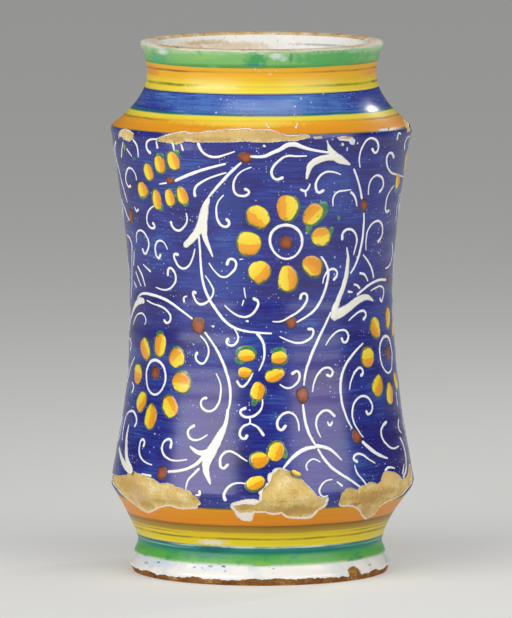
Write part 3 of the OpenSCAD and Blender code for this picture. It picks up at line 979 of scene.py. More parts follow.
def clay_pieces():
    """The thrown sections, from the foot up."""
    seat = FLOOR_R - FLOOR_SEAT_W
    foot = [(clay_out(z), z) for z in rows(0, Z_ANKLE, FOOT_ROW)] + lap(Z_ANKLE)
    foot += [(clay_in(Z_ANKLE + LAP_H), Z_ANKLE + LAP_H), (FLOOR_R, Z_ANKLE), (FLOOR_R, Z_RECESS)]
    foot += [(seat, Z_RECESS), (seat, 0)]
    make_piece("foot_ring_clay", turned(foot), brown, ["foot_ring"])
    across = rows(0, FLOOR_R, FLOOR_ROW)
    slab = [(r, Z_RECESS) for r in across] + [(r, Z_FLOOR) for r in reversed(across)]
    make_piece("floor_slab_clay", turned(slab), buff, ["floor_slab"])
    sections = [("heel_wall", Z_ANKLE, Z_BELLY), ("lower_body_wall", Z_BELLY, Z_WAIST),
                ("upper_body_wall", Z_WAIST, Z_SHOULDER), ("shoulder_wall", Z_SHOULDER, Z_NECK)]
    for node, z0, z1 in sections:
        bm = turned(clay_profile(z0, z1), CLAY_STEPS, pit=fracture)
        make_piece(node + "_clay", bm, buff, [node])
    lip_out = clay_out(Z_TOP)
    lip_in = clay_in(Z_TOP)
    neck = [(clay_out(z), z) for z in rows(Z_NECK, Z_TOP - LIP_ROUND, NECK_ROW)]
    neck += [(lip_out - LIP_EASE, Z_TOP - LIP_EASE), (lip_out - LIP_ROUND, Z_TOP)]
    neck += [(lip_in + LIP_ROUND, Z_TOP), (lip_in + LIP_EASE, Z_TOP - LIP_EASE)]
    neck += [(clay_in(z), z) for z in reversed(rows(Z_NECK + LAP_H, Z_TOP - LIP_ROUND, NECK_ROW))]
    neck += lap(Z_NECK)[::-1]
    make_piece("neck_wall_clay", turned(neck), worn, ["neck_wall"])


def glaze_pieces():
    """The white coat, the lining, the blue ground and the blue collar."""
    levels = rows(Z_BARE, Z_FOOT_GREEN, DRIP_ROW)
    knees = [Z_FOOT_GREEN, Z_ANKLE, Z_BELLY, Z_SHOULDER, Z_THROAT, Z_LIP_GLAZE]
    for bottom, top in zip(knees, knees[1:]):
        levels += rows(bottom, top, WHITE_ROW)[1:]
    shell = turned(coat(levels, COLOUR_T, COAT_T), TIN_STEPS, shift=glaze_edges)
    make_piece("white_glaze_coat", chipped(shell, TIN_LOSSES), white, ["outer_tin_glaze"])
    up = rows(Z_ANKLE, Z_LIP_GLAZE, LINING_ROW)
    inside = [(r, Z_FLOOR) for r in rows(0, FLOOR_R, FLOOR_ROW)]
    inside += [(clay_in(z), z) for z in up]
    inside += [(clay_in(z) - LINING_T, z) for z in reversed(up)]
    inside += [(r, Z_FLOOR + LINING_T) for r in reversed(rows(0, FLOOR_R - LINING_T, FLOOR_ROW))]
    make_piece("white_glaze_lining", turned(inside), lining, ["inner_tin_glaze"])
    shell = turned(coat(rows(Z_GROUND, Z_SHOULDER, GROUND_ROW), 0, COLOUR_T), shift=band_edges)
    shell = chipped(shell, COLOUR_LOSSES)
    make_piece("cobalt_ground_coat", shell, cobalt, ["body_blue_ground"])
    shell = turned(coat(rows(Z_SHOULDER_BLUE, Z_NECK_YELLOW, BAND_ROW), 0, COLOUR_T), shift=band_edges)
    make_piece("shoulder_blue_band_coat", shell, collar, ["shoulder_blue_band"])


# Name, slot, lower and upper level, colours at levels within the band, a darker mottle, lines, patches
BANDS = [
    ("foot_green_band", "copper_green", Z_FOOT_GREEN, Z_TEAL,
     [(7.9, "#d8e8cc"), (8.9, "#74bc5e"), (11.5, "#56ae58"), (12.8, "#2c8e62")], "#35926a", [],
     [(213, 554, 44, 10, "#1f8468", 0.65), (262, 564, 18, 6, "#88c244", 0.75),
      (160, 553, 30, 8, "#57ad48", 0.6)]),
    ("foot_teal_band", "teal", Z_TEAL, Z_HEEL_YELLOW,
     [(12.8, "#1c8a6c"), (13.3, "#127a6e"), (14.9, "#16807c"), (15.4, "#3f8f98")], None,
     [(15.4, 0.5, "#2c5a84", 0, 1), (15.5, 0.55, "#d6ead8", 1, 0), (14.4, 0.45, "#74c4ac", 0.1, 1)],
     [(214, 549, 34, 8, "#0d5f60", 0.75), (213, 544.4, 26, 3.4, "#e6ece0", 0.85)]),
    ("heel_yellow_band", "antimony_yellow", Z_HEEL_YELLOW, Z_HEEL_ORANGE,
     [(15.8, "#e6d644"), (16.3, "#f4dc22"), (21.4, "#ecca20"), (22.2, "#b6962a"), (23.8, "#a67e24"),
      (24.6, "#8a641c")], None,
     [(19.1, 0.6, "#8c861c", 0.85, 1), (20.9, 0.35, "#8c861c", 0.15, 1), (15.7, 0.4, "#f2eab8", 1, 0)],
     [(213, 542.4, 28, 5, "#f4eedd", 0.9)]),
    ("heel_orange_band", "orange", Z_HEEL_ORANGE, Z_GROUND,
     [(24.8, "#a8701c"), (25.5, "#ee900a"), (31.6, "#f2a010"), (32.5, "#4a5a2a")], None, [], []),
    ("shoulder_orange_band", "orange", Z_SHOULDER_ORANGE, Z_SHOULDER_YELLOW,
     [(185.2, "#5a6a4a"), (185.8, "#ec9a1e"), (189.3, "#f2a626"), (190.0, "#f2ac28")], None,
     [(189.9, 0.4, "#9a8c2c", 0.1, 1)],
     [(236, 122, 130, 9, "#f8d848", 0.75), (262, 125, 60, 5, "#f4cc50", 0.5)]),
    ("shoulder_yellow_band", "antimony_yellow", Z_SHOULDER_YELLOW, Z_SHOULDER_BLUE,
     [(190.2, "#f2b42c"), (190.7, "#f3d83e"), (192.0, "#f3dc44"), (192.4, "#3f8a6a")], None, [], []),
    ("neck_yellow_band", "antimony_yellow", Z_NECK_YELLOW, Z_NECK_ORANGE,
     [(201.1, "#c4bc50"), (201.5, "#f6de48"), (204.6, "#f6d840"), (206.6, "#f3c238")], None,
     # The pale mark at 214, 86 is a painted highlight: sheen on the yellow
     [(203.9, 0.8, "#7c861f", 0.12, 1)], [(214, 86, 46, 5, "#fbe98c", 0.6)]),
    ("neck_orange_band", "orange", Z_NECK_ORANGE, Z_LIP_GREEN,
     [(207, "#f7c030"), (209.2, "#f6b428"), (211.6, "#f5b62a"), (212.1, "#6f8a34")], None,
     [(209.6, 0.6, "#9a661a", 0.2, 1)],
     [(152, 72, 16, 14, "#ec8c22", 0.6), (374, 72, 26, 9, "#ec8526", 0.6)]),
    ("lip_green_band", "copper_green", Z_LIP_GREEN, Z_LIP_GLAZE,
     [(212.2, "#5a9c48"), (213.2, "#7cc06a"), (216.5, "#92cc80"), (218.8, "#c8e4b8")], "#6cb878", [],
     [(158, 58, 22, 11, "#4cb276", 0.65), (204, 55.5, 24, 6, "#a2d26c", 0.7),
      (256, 58, 24, 14, "#2f9f5a", 0.8), (334, 57, 84, 18, "#4cb05e", 0.75),
      (163.5, 50.5, 10, 6, "#e2eee6", 0.9), (276, 54, 13, 7, "#e0ece8", 0.85),
      (284, 57, 8, 5, "#cfe4d8", 0.7), (262, 51, 10, 3, "#cfe6c8", 0.7),
      (291, 56, 4, 9, "#23806c", 0.6), (353, 49.5, 10, 4.4, "#a6d4b4", 0.75),
      (380, 54, 12, 14, "#4aa880", 0.6), (255, 63.4, 24, 2.4, "#2a7f90", 0.7)]),
]


def painted_bands():
    """A coat for each painted band. Losses reach into the orange ones."""
    for node, slot, z0, z1, stops, mottle, lines, marks in BANDS:
        material = banded_glaze(node + "_glaze", z0, z1, stops, mottle, lines, marks)
        shell = turned(coat(rows(z0, z1, BAND_ROW), 0, COLOUR_T), shift=band_edges)
        if slot == "orange":
            shell = chipped(shell, COLOUR_LOSSES)
        make_piece(node + "_coat", shell, material, [node])


# Painted ornament: each point is a pixel of the photograph, some with the brush's width in pixels

STEM_W = 3.1
SCROLL_W = 2.7
FINE_W = 1.9

STEMS = [
    [(241, 163), (232.5, 170.5), (223, 180.5), (215, 189.5), (208.5, 197.5)],
    [(225, 164, 2.2), (207.5, 168.5, 3), (191, 174, 3.6), (176, 180.5, 3.2)],
    [(166.5, 183, 2.4), (160, 184, 1.5)],
    [(199, 236), (200, 249), (201.5, 271), (203.5, 284), (209, 298.5), (216, 309.5), (224, 320),
     (232, 326.5), (242.5, 330.5), (256, 332.5), (271, 333.5)],
    [(251, 156.5, 2.5), (264, 156.5, 3.5), (272, 153, 4), (280.5, 149.5, 4.5), (288, 145, 5),
     (295, 144.5, 5.5), (302, 147, 4), (313, 150, 3), (328, 152.5, 2.5)],
    [(354, 169.5, 2.4), (358.5, 181.5, 2.6), (362, 198, 3)],
    [(364, 213.5), (363.7, 227.5), (362, 241.5), (359, 255), (354.5, 267), (350.5, 273)],
    [(357.5, 294.5, 3), (363, 289.7, 3), (369, 285, 3), (375.5, 281.4, 3), (381, 279.7, 3),
     (386, 279.8, 3)],
    [(330.6, 312.5), (324, 327), (319, 337.5), (313.8, 349), (308.5, 362.5), (305, 375), (303.8, 385)],
    [(303, 405), (304, 414.5), (306.5, 427), (311, 438), (316, 446)],
    [(315, 447, 3.5), (307.5, 448.2, 4.5), (298.5, 452.7, 4.5), (290, 460, 3.5), (283.5, 468, 2)],
    [(317, 446, 4.5), (325, 447.3, 4), (333, 451.5, 3), (341.3, 460, 1.6)],
    [(318, 449.5), (323, 457.5), (331.5, 467.5), (341.5, 474.5), (351, 480.5), (359.7, 486.6)],
    [(362.7, 343.5), (352.4, 354.8), (344, 368.2), (340.6, 383), (341.2, 399), (345.5, 415),
     (351.5, 428)],
    [(362.7, 442, 3.5), (370, 448.5, 4.5), (378.5, 454.5, 4.2), (387.5, 458.2, 1.8)],
    [(205, 332.7), (213, 343.5), (220.5, 357), (226, 371), (230, 387), (230, 403), (228, 411)],
    [(192, 318.5), (181.5, 310.5), (170, 302), (160.5, 297.3), (151.5, 294.6), (145, 293.4),
     (140.3, 294.8), (138, 298)],
    [(321.5, 257), (325.7, 263.4), (328, 270.5), (327.6, 279.5), (325, 289.7), (321, 300), (314.5, 310),
     (306.5, 316.5), (297, 322)],
]

LEAVES = [
    [(208.5, 199, 4), (205.5, 207, 8), (203.5, 216, 10.5), (202, 223, 11.5), (197.5, 232, 9),
     (191, 240, 8), (185.8, 245, 6.5)],
    [(203.5, 222, 10), (204.5, 234, 7), (207.5, 244, 5), (210.5, 251, 3.5), (212.7, 256.5, 1.5)],
    [(328.3, 144, 1.5), (330, 149, 5), (334, 155, 9), (340, 159.5, 9), (346, 162.5, 5.5),
     (350, 164.5, 2)],
    [(338, 157.5, 8), (328, 157.5, 7), (318, 160.5, 7.5), (311, 165, 7), (308.5, 171, 5), (307, 178, 3)],
    [(346.8, 247.6, 1.2), (347.6, 253, 2.8), (348, 260, 4.6), (347.3, 268, 5), (346, 276.5, 6),
     (343.8, 285, 6.4), (341, 293, 6.2), (337.8, 301, 6.6), (335.2, 308.5, 8.5), (334.5, 315.5, 11)],
    [(334.5, 315.8, 11), (341, 312.5, 11), (348, 308, 9.2), (355.5, 302, 8.4), (363, 297.9, 7.6),
     (368.8, 297.6, 5.6), (373.3, 300.5, 1.8)],
    [(228, 410, 3.6), (227, 418, 4), (225, 426, 5), (221.7, 432.4, 8), (217.3, 441, 9.8),
     (212.2, 449.8, 12), (208, 459, 11), (206, 467, 8.5), (206.9, 474.3, 6), (208.8, 479.4, 4),
     (210.3, 484, 1.4)],
    [(209, 452, 9), (203, 453.2, 6.4), (198, 452.4, 5), (193.8, 449.8, 4), (190.2, 446.6, 2)],
    [(203.5, 457, 5), (196.9, 463.7, 4), (189, 468, 3.5), (180, 470.6, 3.2), (168.5, 471.6, 3)],
    [(143.8, 301, 6), (140.5, 300.6, 8.5), (136.4, 304, 6.5), (133.2, 310.5, 4.4), (131.4, 318, 2.2)],
    [(119.2, 448, 4), (120.6, 456, 6.5), (123.6, 464, 7), (129.4, 471, 7)],
    [(128.2, 425.5, 2.4), (126.4, 436, 6), (125.9, 448, 7), (126.5, 460, 8), (130.2, 470.5, 9)],
]

SCROLLS = [
    [(198.5, 144), (201.5, 150.6), (207.6, 155.5), (216.2, 157.1), (225.5, 154.7), (234.4, 151.7)],
    [(226, 172.8), (213, 176.8), (202, 182), (196, 187), (194.6, 193), (195, 195.5)],
    [(251, 167.4), (241.5, 171.5), (235, 179), (233.4, 187), (236, 194), (241.5, 196), (247, 195),
     (249, 191.5), (245.5, 189.3)],
    [(223.5, 195.3), (217.8, 202.5), (216.4, 212), (218.2, 221), (223.5, 226.5), (228.2, 225.8),
     (229, 222), (227, 219.6)],
    [(186.4, 213.5), (187.3, 220.5), (183.7, 227.5), (178.3, 230.6), (172.9, 226.8), (171.4, 222.4)],
    [(154.4, 206), (149.3, 210.2), (147.4, 217.2), (148.7, 225), (152.8, 228.1), (155.2, 226.5),
     (153.6, 223.4)],
    [(136.8, 242), (137.3, 233.5), (140.9, 230.3), (145.8, 234.1), (149, 242.2), (147.9, 250.3),
     (145.2, 253.6), (143.1, 249.6)],
    [(167.5, 249.2), (164.4, 242.7), (160.2, 240.6), (156.1, 244.3), (155.8, 251.5), (158.8, 258.2),
     (160.8, 255)],
    [(194.9, 249.2), (192.5, 259), (187, 267.5), (181, 267.8), (176, 261.5), (174.6, 254.5),
     (178, 254.6)],
    [(156.3, 287.2), (166, 289.9), (173, 286), (176.1, 278), (174, 270.8), (169.5, 268.2),
     (168.2, 274.5)],
    [(209.2, 263.3), (215.1, 271.5), (223.3, 277.2), (231.5, 273), (236.1, 265.5), (234.5, 260.3),
     (229.5, 259.4), (227.2, 264)],
    [(205.7, 276), (211, 284.5), (213.6, 291), (209.7, 299.7), (203.4, 304), (198.8, 303.7), (194, 297),
     (193.5, 292), (195.5, 292.8)],
    [(225, 305.6), (231.7, 311.8), (240.5, 316.5), (248.5, 316.3), (256, 309.5), (258, 301.5),
     (254, 298.8)],
    [(147.5, 300.5), (153.5, 303.7), (161.8, 306.7), (167.4, 310.9), (170.6, 316.5), (169.7, 321.5),
     (166.2, 322.7), (164.6, 320.6)],
    [(184.2, 301.5), (184, 298), (186.9, 296.2)],
    [(138.5, 266.6), (142.3, 275.5), (145.5, 286)],
    [(136.3, 272.5), (141.4, 286)],
    [(134.6, 281.5), (136.5, 287)],
    [(143.8, 264.4), (150.7, 271.2)],
    [(157.2, 139.3), (150.1, 139.8), (146.9, 143.5), (147.9, 149.5), (150.7, 152.8)],
    [(156.6, 141), (157.7, 147.6)],
    [(133.8, 140.3), (137.6, 146.2), (139, 157.1)],
    [(123.5, 142), (121.9, 156.8)],
    [(127.9, 149.5), (132.2, 156)],
    [(173, 144), (174.5, 150.3)],
    [(181.2, 144.3), (183, 149.8)],
    [(137.1, 179.9), (135.2, 172.8), (130.6, 167.9), (126.8, 172.3), (126.3, 179.5), (129, 186.5),
     (131, 186)],
    [(135, 207), (137, 211), (138.7, 209.5)],
    [(116, 142), (115.8, 154.5), (119.3, 169.5), (123.5, 186.4), (127.9, 202.5)],
    [(121.9, 199), (125.7, 210.2), (129.8, 220)],
    [(127.3, 235), (131.7, 242.7), (132.2, 258), (131.5, 298)],
    [(134.6, 250.3), (134.2, 265)],
    [(306.4, 156, 3), (297, 156.3, 3.8), (286.4, 156.3, 4.4), (278.8, 161, 4.4), (272.5, 168.5, 4),
     (271.8, 174.5, 4), (276, 179.4, 4), (282.2, 178, 3.6)],
    [(340.6, 174.5), (332, 171.8), (324, 173), (317.5, 180), (316, 187.5), (318.8, 192.6), (323, 190.8)],
    [(310.2, 184.2), (305.8, 191), (301, 189.7)],
    [(305.4, 191.3), (306, 196.2)],
    [(351.4, 192.4), (355.2, 197.2), (356.8, 205.9)],
    [(360.1, 166.9), (359.5, 157.6), (362.8, 146.8), (368.2, 139.2), (373, 138.4), (378.2, 143.5),
     (378.2, 149.5), (375.3, 152.8), (372.6, 149.2)],
    [(400.5, 134), (398.2, 133.6), (397.2, 139)],
    [(409.4, 136), (405.1, 141.9), (404.4, 149)],
    [(393.7, 157.1), (391.5, 153), (387.8, 155), (386.7, 162.5), (389.3, 170.6), (395.3, 174.2),
     (403.5, 176.6)],
    [(368.5, 194.5), (369.3, 184.8), (374.2, 176.6), (379.1, 175.6), (383.4, 181), (382.6, 187.5),
     (379.9, 191.5)],
    [(393.7, 185.8), (388.8, 193.5), (385.6, 203.8), (386.6, 212), (388.8, 210.5)],
    [(366, 249.8), (366, 239.5), (368.8, 228.7), (375.2, 221.6), (381, 222.7), (382.8, 229), (381.5, 236),
     (378.2, 241.7)],
    [(342.2, 238.7), (342.8, 233.5), (348.7, 229.2), (354.6, 232.2), (356.8, 240), (355.5, 247.5),
     (353.5, 254.7)],
    [(363.2, 255), (368.3, 261.5), (371.7, 268.5), (373.5, 277)],
    [(360, 273.2), (364.2, 274.4), (367.9, 281)],
    [(353.8, 284.3), (357.2, 285.4), (359.4, 287.8)],
    [(348.5, 291.6), (352.2, 292.2)],
    [(370.8, 290.6), (375.8, 287.9), (381, 286.2), (384, 291.5), (382.9, 298.4), (381.5, 301.3),
     (380.4, 298.8)],
    [(348.9, 320.4), (354.2, 315.4), (360.5, 311.1), (365, 311.8), (365.9, 315.5), (363.6, 319.2)],
    [(392.2, 243), (392.4, 257), (390, 264.8), (385.6, 268.4)],
    [(322.8, 283.1), (324, 277), (327.1, 272), (332.5, 268.9), (336.5, 271), (336.4, 276),
     (333.9, 279.4)],
    [(300.4, 298.2), (301.6, 294.7), (305.2, 293.7), (307.2, 297.2), (304.8, 304.5), (298.3, 311.5),
     (289.5, 317), (280.5, 321.5), (273, 321.5)],
    [(200.7, 335.9), (206.2, 342.4), (208.8, 350.7), (206.8, 359), (202.5, 363.6), (197.7, 361.4),
     (195.8, 356.2), (197, 353.2)],
    [(216.4, 373.8), (220.3, 383), (220.8, 394), (218, 404.5), (211.5, 411), (204, 409.5), (200.8, 402.7),
     (203.5, 398.6), (206.3, 398)],
    [(207.1, 435), (200.5, 439), (193.5, 440), (188.2, 435.5), (188.6, 430), (194, 425.8)],
    [(186.8, 459.5), (177, 460.7), (168.5, 458.8), (162.6, 452.5), (162.2, 445.5), (166, 440),
     (170.8, 440.3), (170.5, 447.2)],
    [(151.5, 464.9), (143.5, 461), (139.5, 454.5), (139.2, 446.5), (141.8, 439.5), (144.3, 442),
     (143.2, 445.7)],
    [(122, 440), (123, 429), (125, 419), (131.2, 410.8), (135.7, 415.7), (136.4, 421.8), (134.5, 425.8)],
    [(129.4, 337.7), (131.3, 344.2), (130.4, 349.8)],
    [(134.5, 357.2), (129.9, 370.1), (127.6, 381.2)],
    [(132.2, 382.1), (133.6, 386.8), (131.7, 392.3)],
    [(198.8, 469), (193.6, 474.3), (188, 480.4), (185.7, 489.4)],
    [(199.6, 491.4), (199.6, 494.6), (196, 495)],
    [(141.6, 473.8), (150.3, 475.8)],
    [(262.5, 399.4), (262, 407), (257.3, 413.6), (249, 417.2), (242.4, 415.4), (240.6, 411),
     (245, 408.4)],
    [(249.8, 418.2), (249.8, 423), (244.2, 425.8), (240.3, 431), (240.8, 437), (245, 438.6),
     (247, 435.8)],
    [(249.8, 423.5), (256, 426), (260.5, 430.5), (263.4, 435)],
    [(247, 461), (241, 457.2), (235.5, 453.4), (229, 451.3), (222.8, 454.4), (220.2, 461.5),
     (222.8, 468.4), (227.6, 465)],
    [(245.2, 483.5), (237.6, 483), (231, 485.2), (225.8, 490.6), (224, 495.5), (225.3, 499.8)],
    [(234.4, 329), (238.1, 336.3), (236.7, 342.4), (231.6, 345.6), (226.8, 342.8), (227.9, 339.2)],
    [(257.3, 333.6), (262.5, 341), (264.5, 350.5), (263.6, 360), (259.1, 370.6)],
    [(237.3, 381.5), (241.8, 386.6), (247, 383.3), (252.7, 373.3)],
    [(280, 336.7), (288.2, 340.6), (297.9, 343), (306.3, 340.9), (312.7, 335), (312.7, 329.7),
     (308.5, 329)],
    [(280, 384.5), (287.5, 388.2), (295.4, 384.5), (299.4, 377.5), (297.5, 371.3), (292.4, 373.6)],
    [(312.4, 391.5), (313.9, 382.7), (318.7, 373), (326.3, 367.6), (332.4, 371), (330.6, 376),
     (327, 375)],
    [(325.7, 345), (331, 337), (341.5, 330), (347.7, 333.2), (347.2, 340.5), (343.5, 342.2),
     (341.6, 338.7)],
    [(298.8, 430.3), (297.5, 420.5), (292.5, 413.5), (285.8, 412.7), (279, 418.2), (277.3, 425.5),
     (280.8, 430), (285.4, 426)],
    [(320.5, 437), (316.6, 428.5), (316.3, 420), (320.3, 413), (326.9, 410.3), (334.2, 415.8)],
    [(327.5, 421.8), (329.6, 425.4), (331.8, 422.4)],
    [(337, 481.8), (341.5, 485.4)],
    [(349.3, 389.4), (351.2, 380.3), (356, 370.6), (360.9, 367.9), (363, 372.4), (361.2, 375.4)],
    [(363, 437), (358.5, 431), (353.6, 421.8), (352.4, 409.5), (356, 400.3), (363.3, 396), (370.6, 400.9),
     (372.4, 408.1), (368.1, 414.2), (366.3, 411.5)],
    [(356.6, 461.6), (353.6, 458.8), (356, 454.4), (362.7, 454.8), (368, 458.8), (374.8, 463)],
    [(386.3, 422.1), (381.5, 429.1), (382.4, 437.6), (387.5, 444.8), (393.6, 448.5), (399.3, 446)],
    [(399, 419.4), (398.7, 426.7), (401.8, 432.7)],
    [(404.5, 464.2), (402.7, 473.4)],
    [(385.4, 470.3), (388.7, 467.5), (394.8, 468.2)],
    [(396.6, 392.4), (397.8, 404.5)],
    [(264, 146), (265.2, 146.6)],
    [(212, 326.2), (213.4, 326.4)],
    [(246, 321), (247.6, 321.2)],
]

FINE_LINES = [
    [(133.1, 324.8), (136.3, 316.3), (140.5, 313.2), (144.2, 315), (146.1, 320.2), (144.8, 324.6)],
    [(333, 205.9), (333.5, 197.8), (337.3, 192.4), (344.4, 190.7), (350.9, 189.8)],
    [(399.8, 194), (397, 208), (395.9, 221.5)],
    [(239.8, 259.6, 1.2), (242.6, 259, 1)],
    [(244.2, 288, 1.4), (244.8, 293, 1.8), (245.8, 298, 1.2)],
    [(243.6, 300.5, 1.6), (242.2, 305.5, 1.2)],
    [(307.2, 470.3), (306, 465.7), (309.4, 460.6), (313.6, 459), (319.7, 461.8)],
    [(331.8, 479.4), (325.7, 480.9), (320.6, 486.6), (319.4, 492.1), (322.4, 496.3), (327.5, 495.7)],
    [(400.6, 438, 3), (404, 445.5, 4), (405.8, 454.5, 4), (406.6, 466, 3.6), (403.6, 477, 3)],
    [(354.5, 465.4), (357.2, 473.3), (363.3, 480.6), (366.3, 484.8)],
    [(254.8, 66.8, 0.6), (255.8, 68.6, 0.7)],
    [(258.4, 69.4, 0.5), (259.6, 70.4, 0.5)],
    [(268.8, 72.8, 0.6), (271, 73, 0.6)],
    [(275.6, 70.2, 0.5), (277, 69.2, 0.5)],
    [(266.4, 122.5, 0.9), (267, 125.5, 1.1), (269.4, 128, 0.8)],
    [(297.4, 123.4, 1.1), (296, 127.8, 1.3)],
]

# Flowers: the middle, the ring's radius in pixels, and each petal's middle, width, length and share of
# orange; widths and lengths are as seen square on
CENTRE_FLOWER = ((286.3, 241.7), 16.6, [
    (287.2, 208, 21, 26, 0.0), (313, 214.5, 18, 23, 0.1), (321, 236.6, 19, 21, 0.0),
    (312.4, 265.5, 19, 23, 0.3), (287.4, 278.6, 20, 26, 0.0), (259.4, 271.2, 21.5, 22, 0.0),
    (249, 243.4, 24, 24.5, 0.0), (258.2, 217, 20.5, 24, 0.0)])
LEFT_FLOWER = ((155.2, 377), 16.6, [
    (144.9, 348.8, 18, 23, 0.2), (160, 345.3, 18, 24, 0.1), (176.6, 358.2, 19, 21, 0.0),
    (181, 382.2, 20, 23, 0.1), (170, 406.3, 19, 23, 0.0), (150.4, 416.6, 18, 24, 0.1),
    (140.9, 401.6, 18, 21, 0.0), (137.8, 373.8, 20, 20, 0.1)])
RIGHT_FLOWER = ((387.2, 354.1), 18.0, [
    (375.8, 327.8, 18, 23, 0.1), (388.2, 317.4, 16, 21, 0.0), (393.2, 328.2, 14, 18, 0.0),
    (368.4, 357.4, 19, 21, 0.0), (378, 385.4, 18, 22, 0.1), (390.3, 393.5, 17, 22, 0.0),
    (396.4, 380.2, 15, 19, 0.0)])
FLOWERS = [CENTRE_FLOWER, LEFT_FLOWER, RIGHT_FLOWER]

# Petals of sprays and buds: middle, width, length, lean from upright in degrees, share of orange
BUDS = [
    (148.8, 171.8, 13, 17, -12, 0.0), (160.3, 164, 14, 18, -8, 0.1), (173.7, 160.9, 14, 18, -14, 0.0),
    (142.8, 189.4, 17, 15, -10, 0.0), (157.4, 199.8, 12, 20, -6, 0.1), (170, 197.5, 12, 17, -8, 0.0),
    (182.6, 195.5, 12, 18, -18, 0.1), (246.8, 355.4, 12, 18, 90, 0.0),
    (279.2, 357.4, 12.5, 16.5, 80, 0.0), (244.8, 372.3, 10, 14.5, 92, 0.1),
    (274.8, 375.4, 12.5, 19.5, 70, 0.0), (257.8, 390.7, 14, 18, 8, 0.0),
    (276.4, 451.4, 15, 19, 22, 0.0), (259.7, 459.9, 15, 17, 75, 0.2),
    (255.8, 482.8, 13, 17.5, 62, 0.0), (296.2, 472.9, 4.4, 9.5, 118, 0.0),
    (405.6, 160.2, 14, 20, 0, 0.0), (397.9, 181, 15, 16, -20, 0.1), (401.3, 191.7, 11, 14, 0, 0.0),
]

# Copper green that ran beside petals: middle, width, length, lean
GREEN_RUNS = [
    (319, 214, 15, 27, 35), (309, 228, 7, 10, 20), (331, 231, 6, 9, 20), (160, 335, 12, 9, 0),
    (177.6, 350.6, 14, 8, 20), (182, 374, 16, 8, 0), (245.6, 352.5, 14, 22, 88),
    (240.5, 360, 12, 9, 0), (279, 352.5, 11, 15, 85), (254.6, 402, 6, 9, 15), (283, 452, 8, 14, -20),
    (160.5, 155.8, 10, 6, 0), (176, 153, 9, 7, -10), (142.8, 196, 12, 6, 0), (160.8, 207, 9, 9, 0),
    (185.6, 203, 8, 8, -15), (396.5, 189, 12, 8, 0), (339, 218, 4, 5, 0), (125, 147, 5, 9, 10),
    (134.6, 158.6, 7, 3.4, 0),
]

# Iron red dots: middle, width and height
RUST_DOTS = [
    (286.3, 242.6, 13.8, 13.8), (155.6, 373, 13, 14), (388, 352.7, 13, 15.5), (245.2, 157.7, 13.5, 12),
    (170.4, 180, 11, 7), (198.5, 325.6, 17, 18), (291.2, 322.7, 11.5, 12), (363.8, 205.2, 10, 12.5),
    (302.4, 395.2, 13.5, 16.5), (356.6, 436, 12, 14.5), (161.8, 473.3, 12.5, 14.5), (389, 279.6, 8, 10),
    (131.3, 215.7, 12, 16),
]

# Scrolls of the sides that the photograph doesn't show: angle in degrees, height, size, turn in degrees,
# hand
SIDE_SCROLLS = [
    (88, 60, 7, 20, 1), (90, 84, 6, 200, -1), (88, 106, 6, 80, 1), (91, 128, 7, 260, -1),
    (88, 152, 6, 30, 1), (92, 172, 6, 150, -1), (-88, 58, 7, 160, -1), (-91, 82, 6, 330, 1),
    (-88, 104, 6, 100, -1), (-92, 126, 7, 280, 1), (-88, 150, 6, 150, -1), (-91, 171, 6, 20, 1),
    (192, 47, 7, 40, 1), (178, 43, 5, 200, -1), (206, 44, 5, 120, 1), (135, 46, 6, 60, -1),
    (148, 43, 5, 220, 1), (224, 46, 6, 300, -1), (236, 44, 5, 80, 1),
]

# The surface is rolled out at this radius; halfway round it is the back
R_REF = 57.0
BACK = math.pi * R_REF
# Brushwork: how far strokes stand proud and sink in, the gap between layers, and the stray of the hand
RELIEF = 0.13
STROKE_SINK = 0.12
LAYER = 20.0
HAND_STRAY = 0.6
# Flower rings: knots and width of the brush in pixels
RING_KNOTS = 14
RING_W = 3.0
# Hooked scrolls: knots, and the degrees that each turns on
HOOK_KNOTS = 8
HOOK_TURN = 48
# Daubs: how far they sink in, how square they are (2 is an oval), and how much wider a fringe is
DAUB_SINK = 0.1
DAUB_SQUARE = 2.2
FRINGE_W = 1.0


def unrolled(px, py):
    """A pixel's place on the jar's surface rolled out flat: along the round and up, in millimetres."""
    angle, z = spot(px, py)
    return Vector((angle * R_REF, z))


def loaded_brush(points, width):
    """A stroke as (place, half width): the brush presses in, lifts off, and leaves both ends round."""
    knots = []
    for i, point in enumerate(points):
        press = 0.5 + 0.6 * math.sin(math.pi * (0.12 + 0.8 * i / (len(points) - 1)))
        span = point[2] if len(point) > 2 else width * press
        knots.append((unrolled(*point[:2]), span * PX / 2))
    return rounded(knots)


def scroll_brush(points, width):
    """A scroll from its thin tail to the drop of white where it curls in."""
    places = [unrolled(*point[:2]) for point in points]
    middle = sum(places, Vector((0, 0))) / len(places)
    if (places[0] - middle).length < (places[-1] - middle).length:
        places.reverse()
    knots = []
    for i, place in enumerate(places):
        t = i / (len(places) - 1)
        press = 0.55 + 0.5 * math.sin(math.pi * min(0.5, 0.8 * t)) + 0.12 * noise.noise(Vector((*place, 0)))
        knots.append((place, width * press * PX / 2))
    if len(places) > 4:
        drop, half = knots[-1]
        knots[-1] = (drop, half * 1.3)
    return rounded(knots)


def rounded(knots):
    """A stroke with a round start and end."""
    (first, w0), (last, w1) = knots[0], knots[-1]
    lead = (first - knots[1][0]).normalized()
    tail = (last - knots[-2][0]).normalized()
    start = [(first + lead * w0 * 0.9, w0 * 0.25), (first + lead * w0 * 0.5, w0 * 0.8)]
    end = [(last + tail * w1 * 0.5, w1 * 0.8), (last + tail * w1 * 0.9, w1 * 0.25)]
    return start + knots + end


def moved(knots, shift):
    """A stroke set down elsewhere."""
    return [(place + shift, half) for place, half in knots]


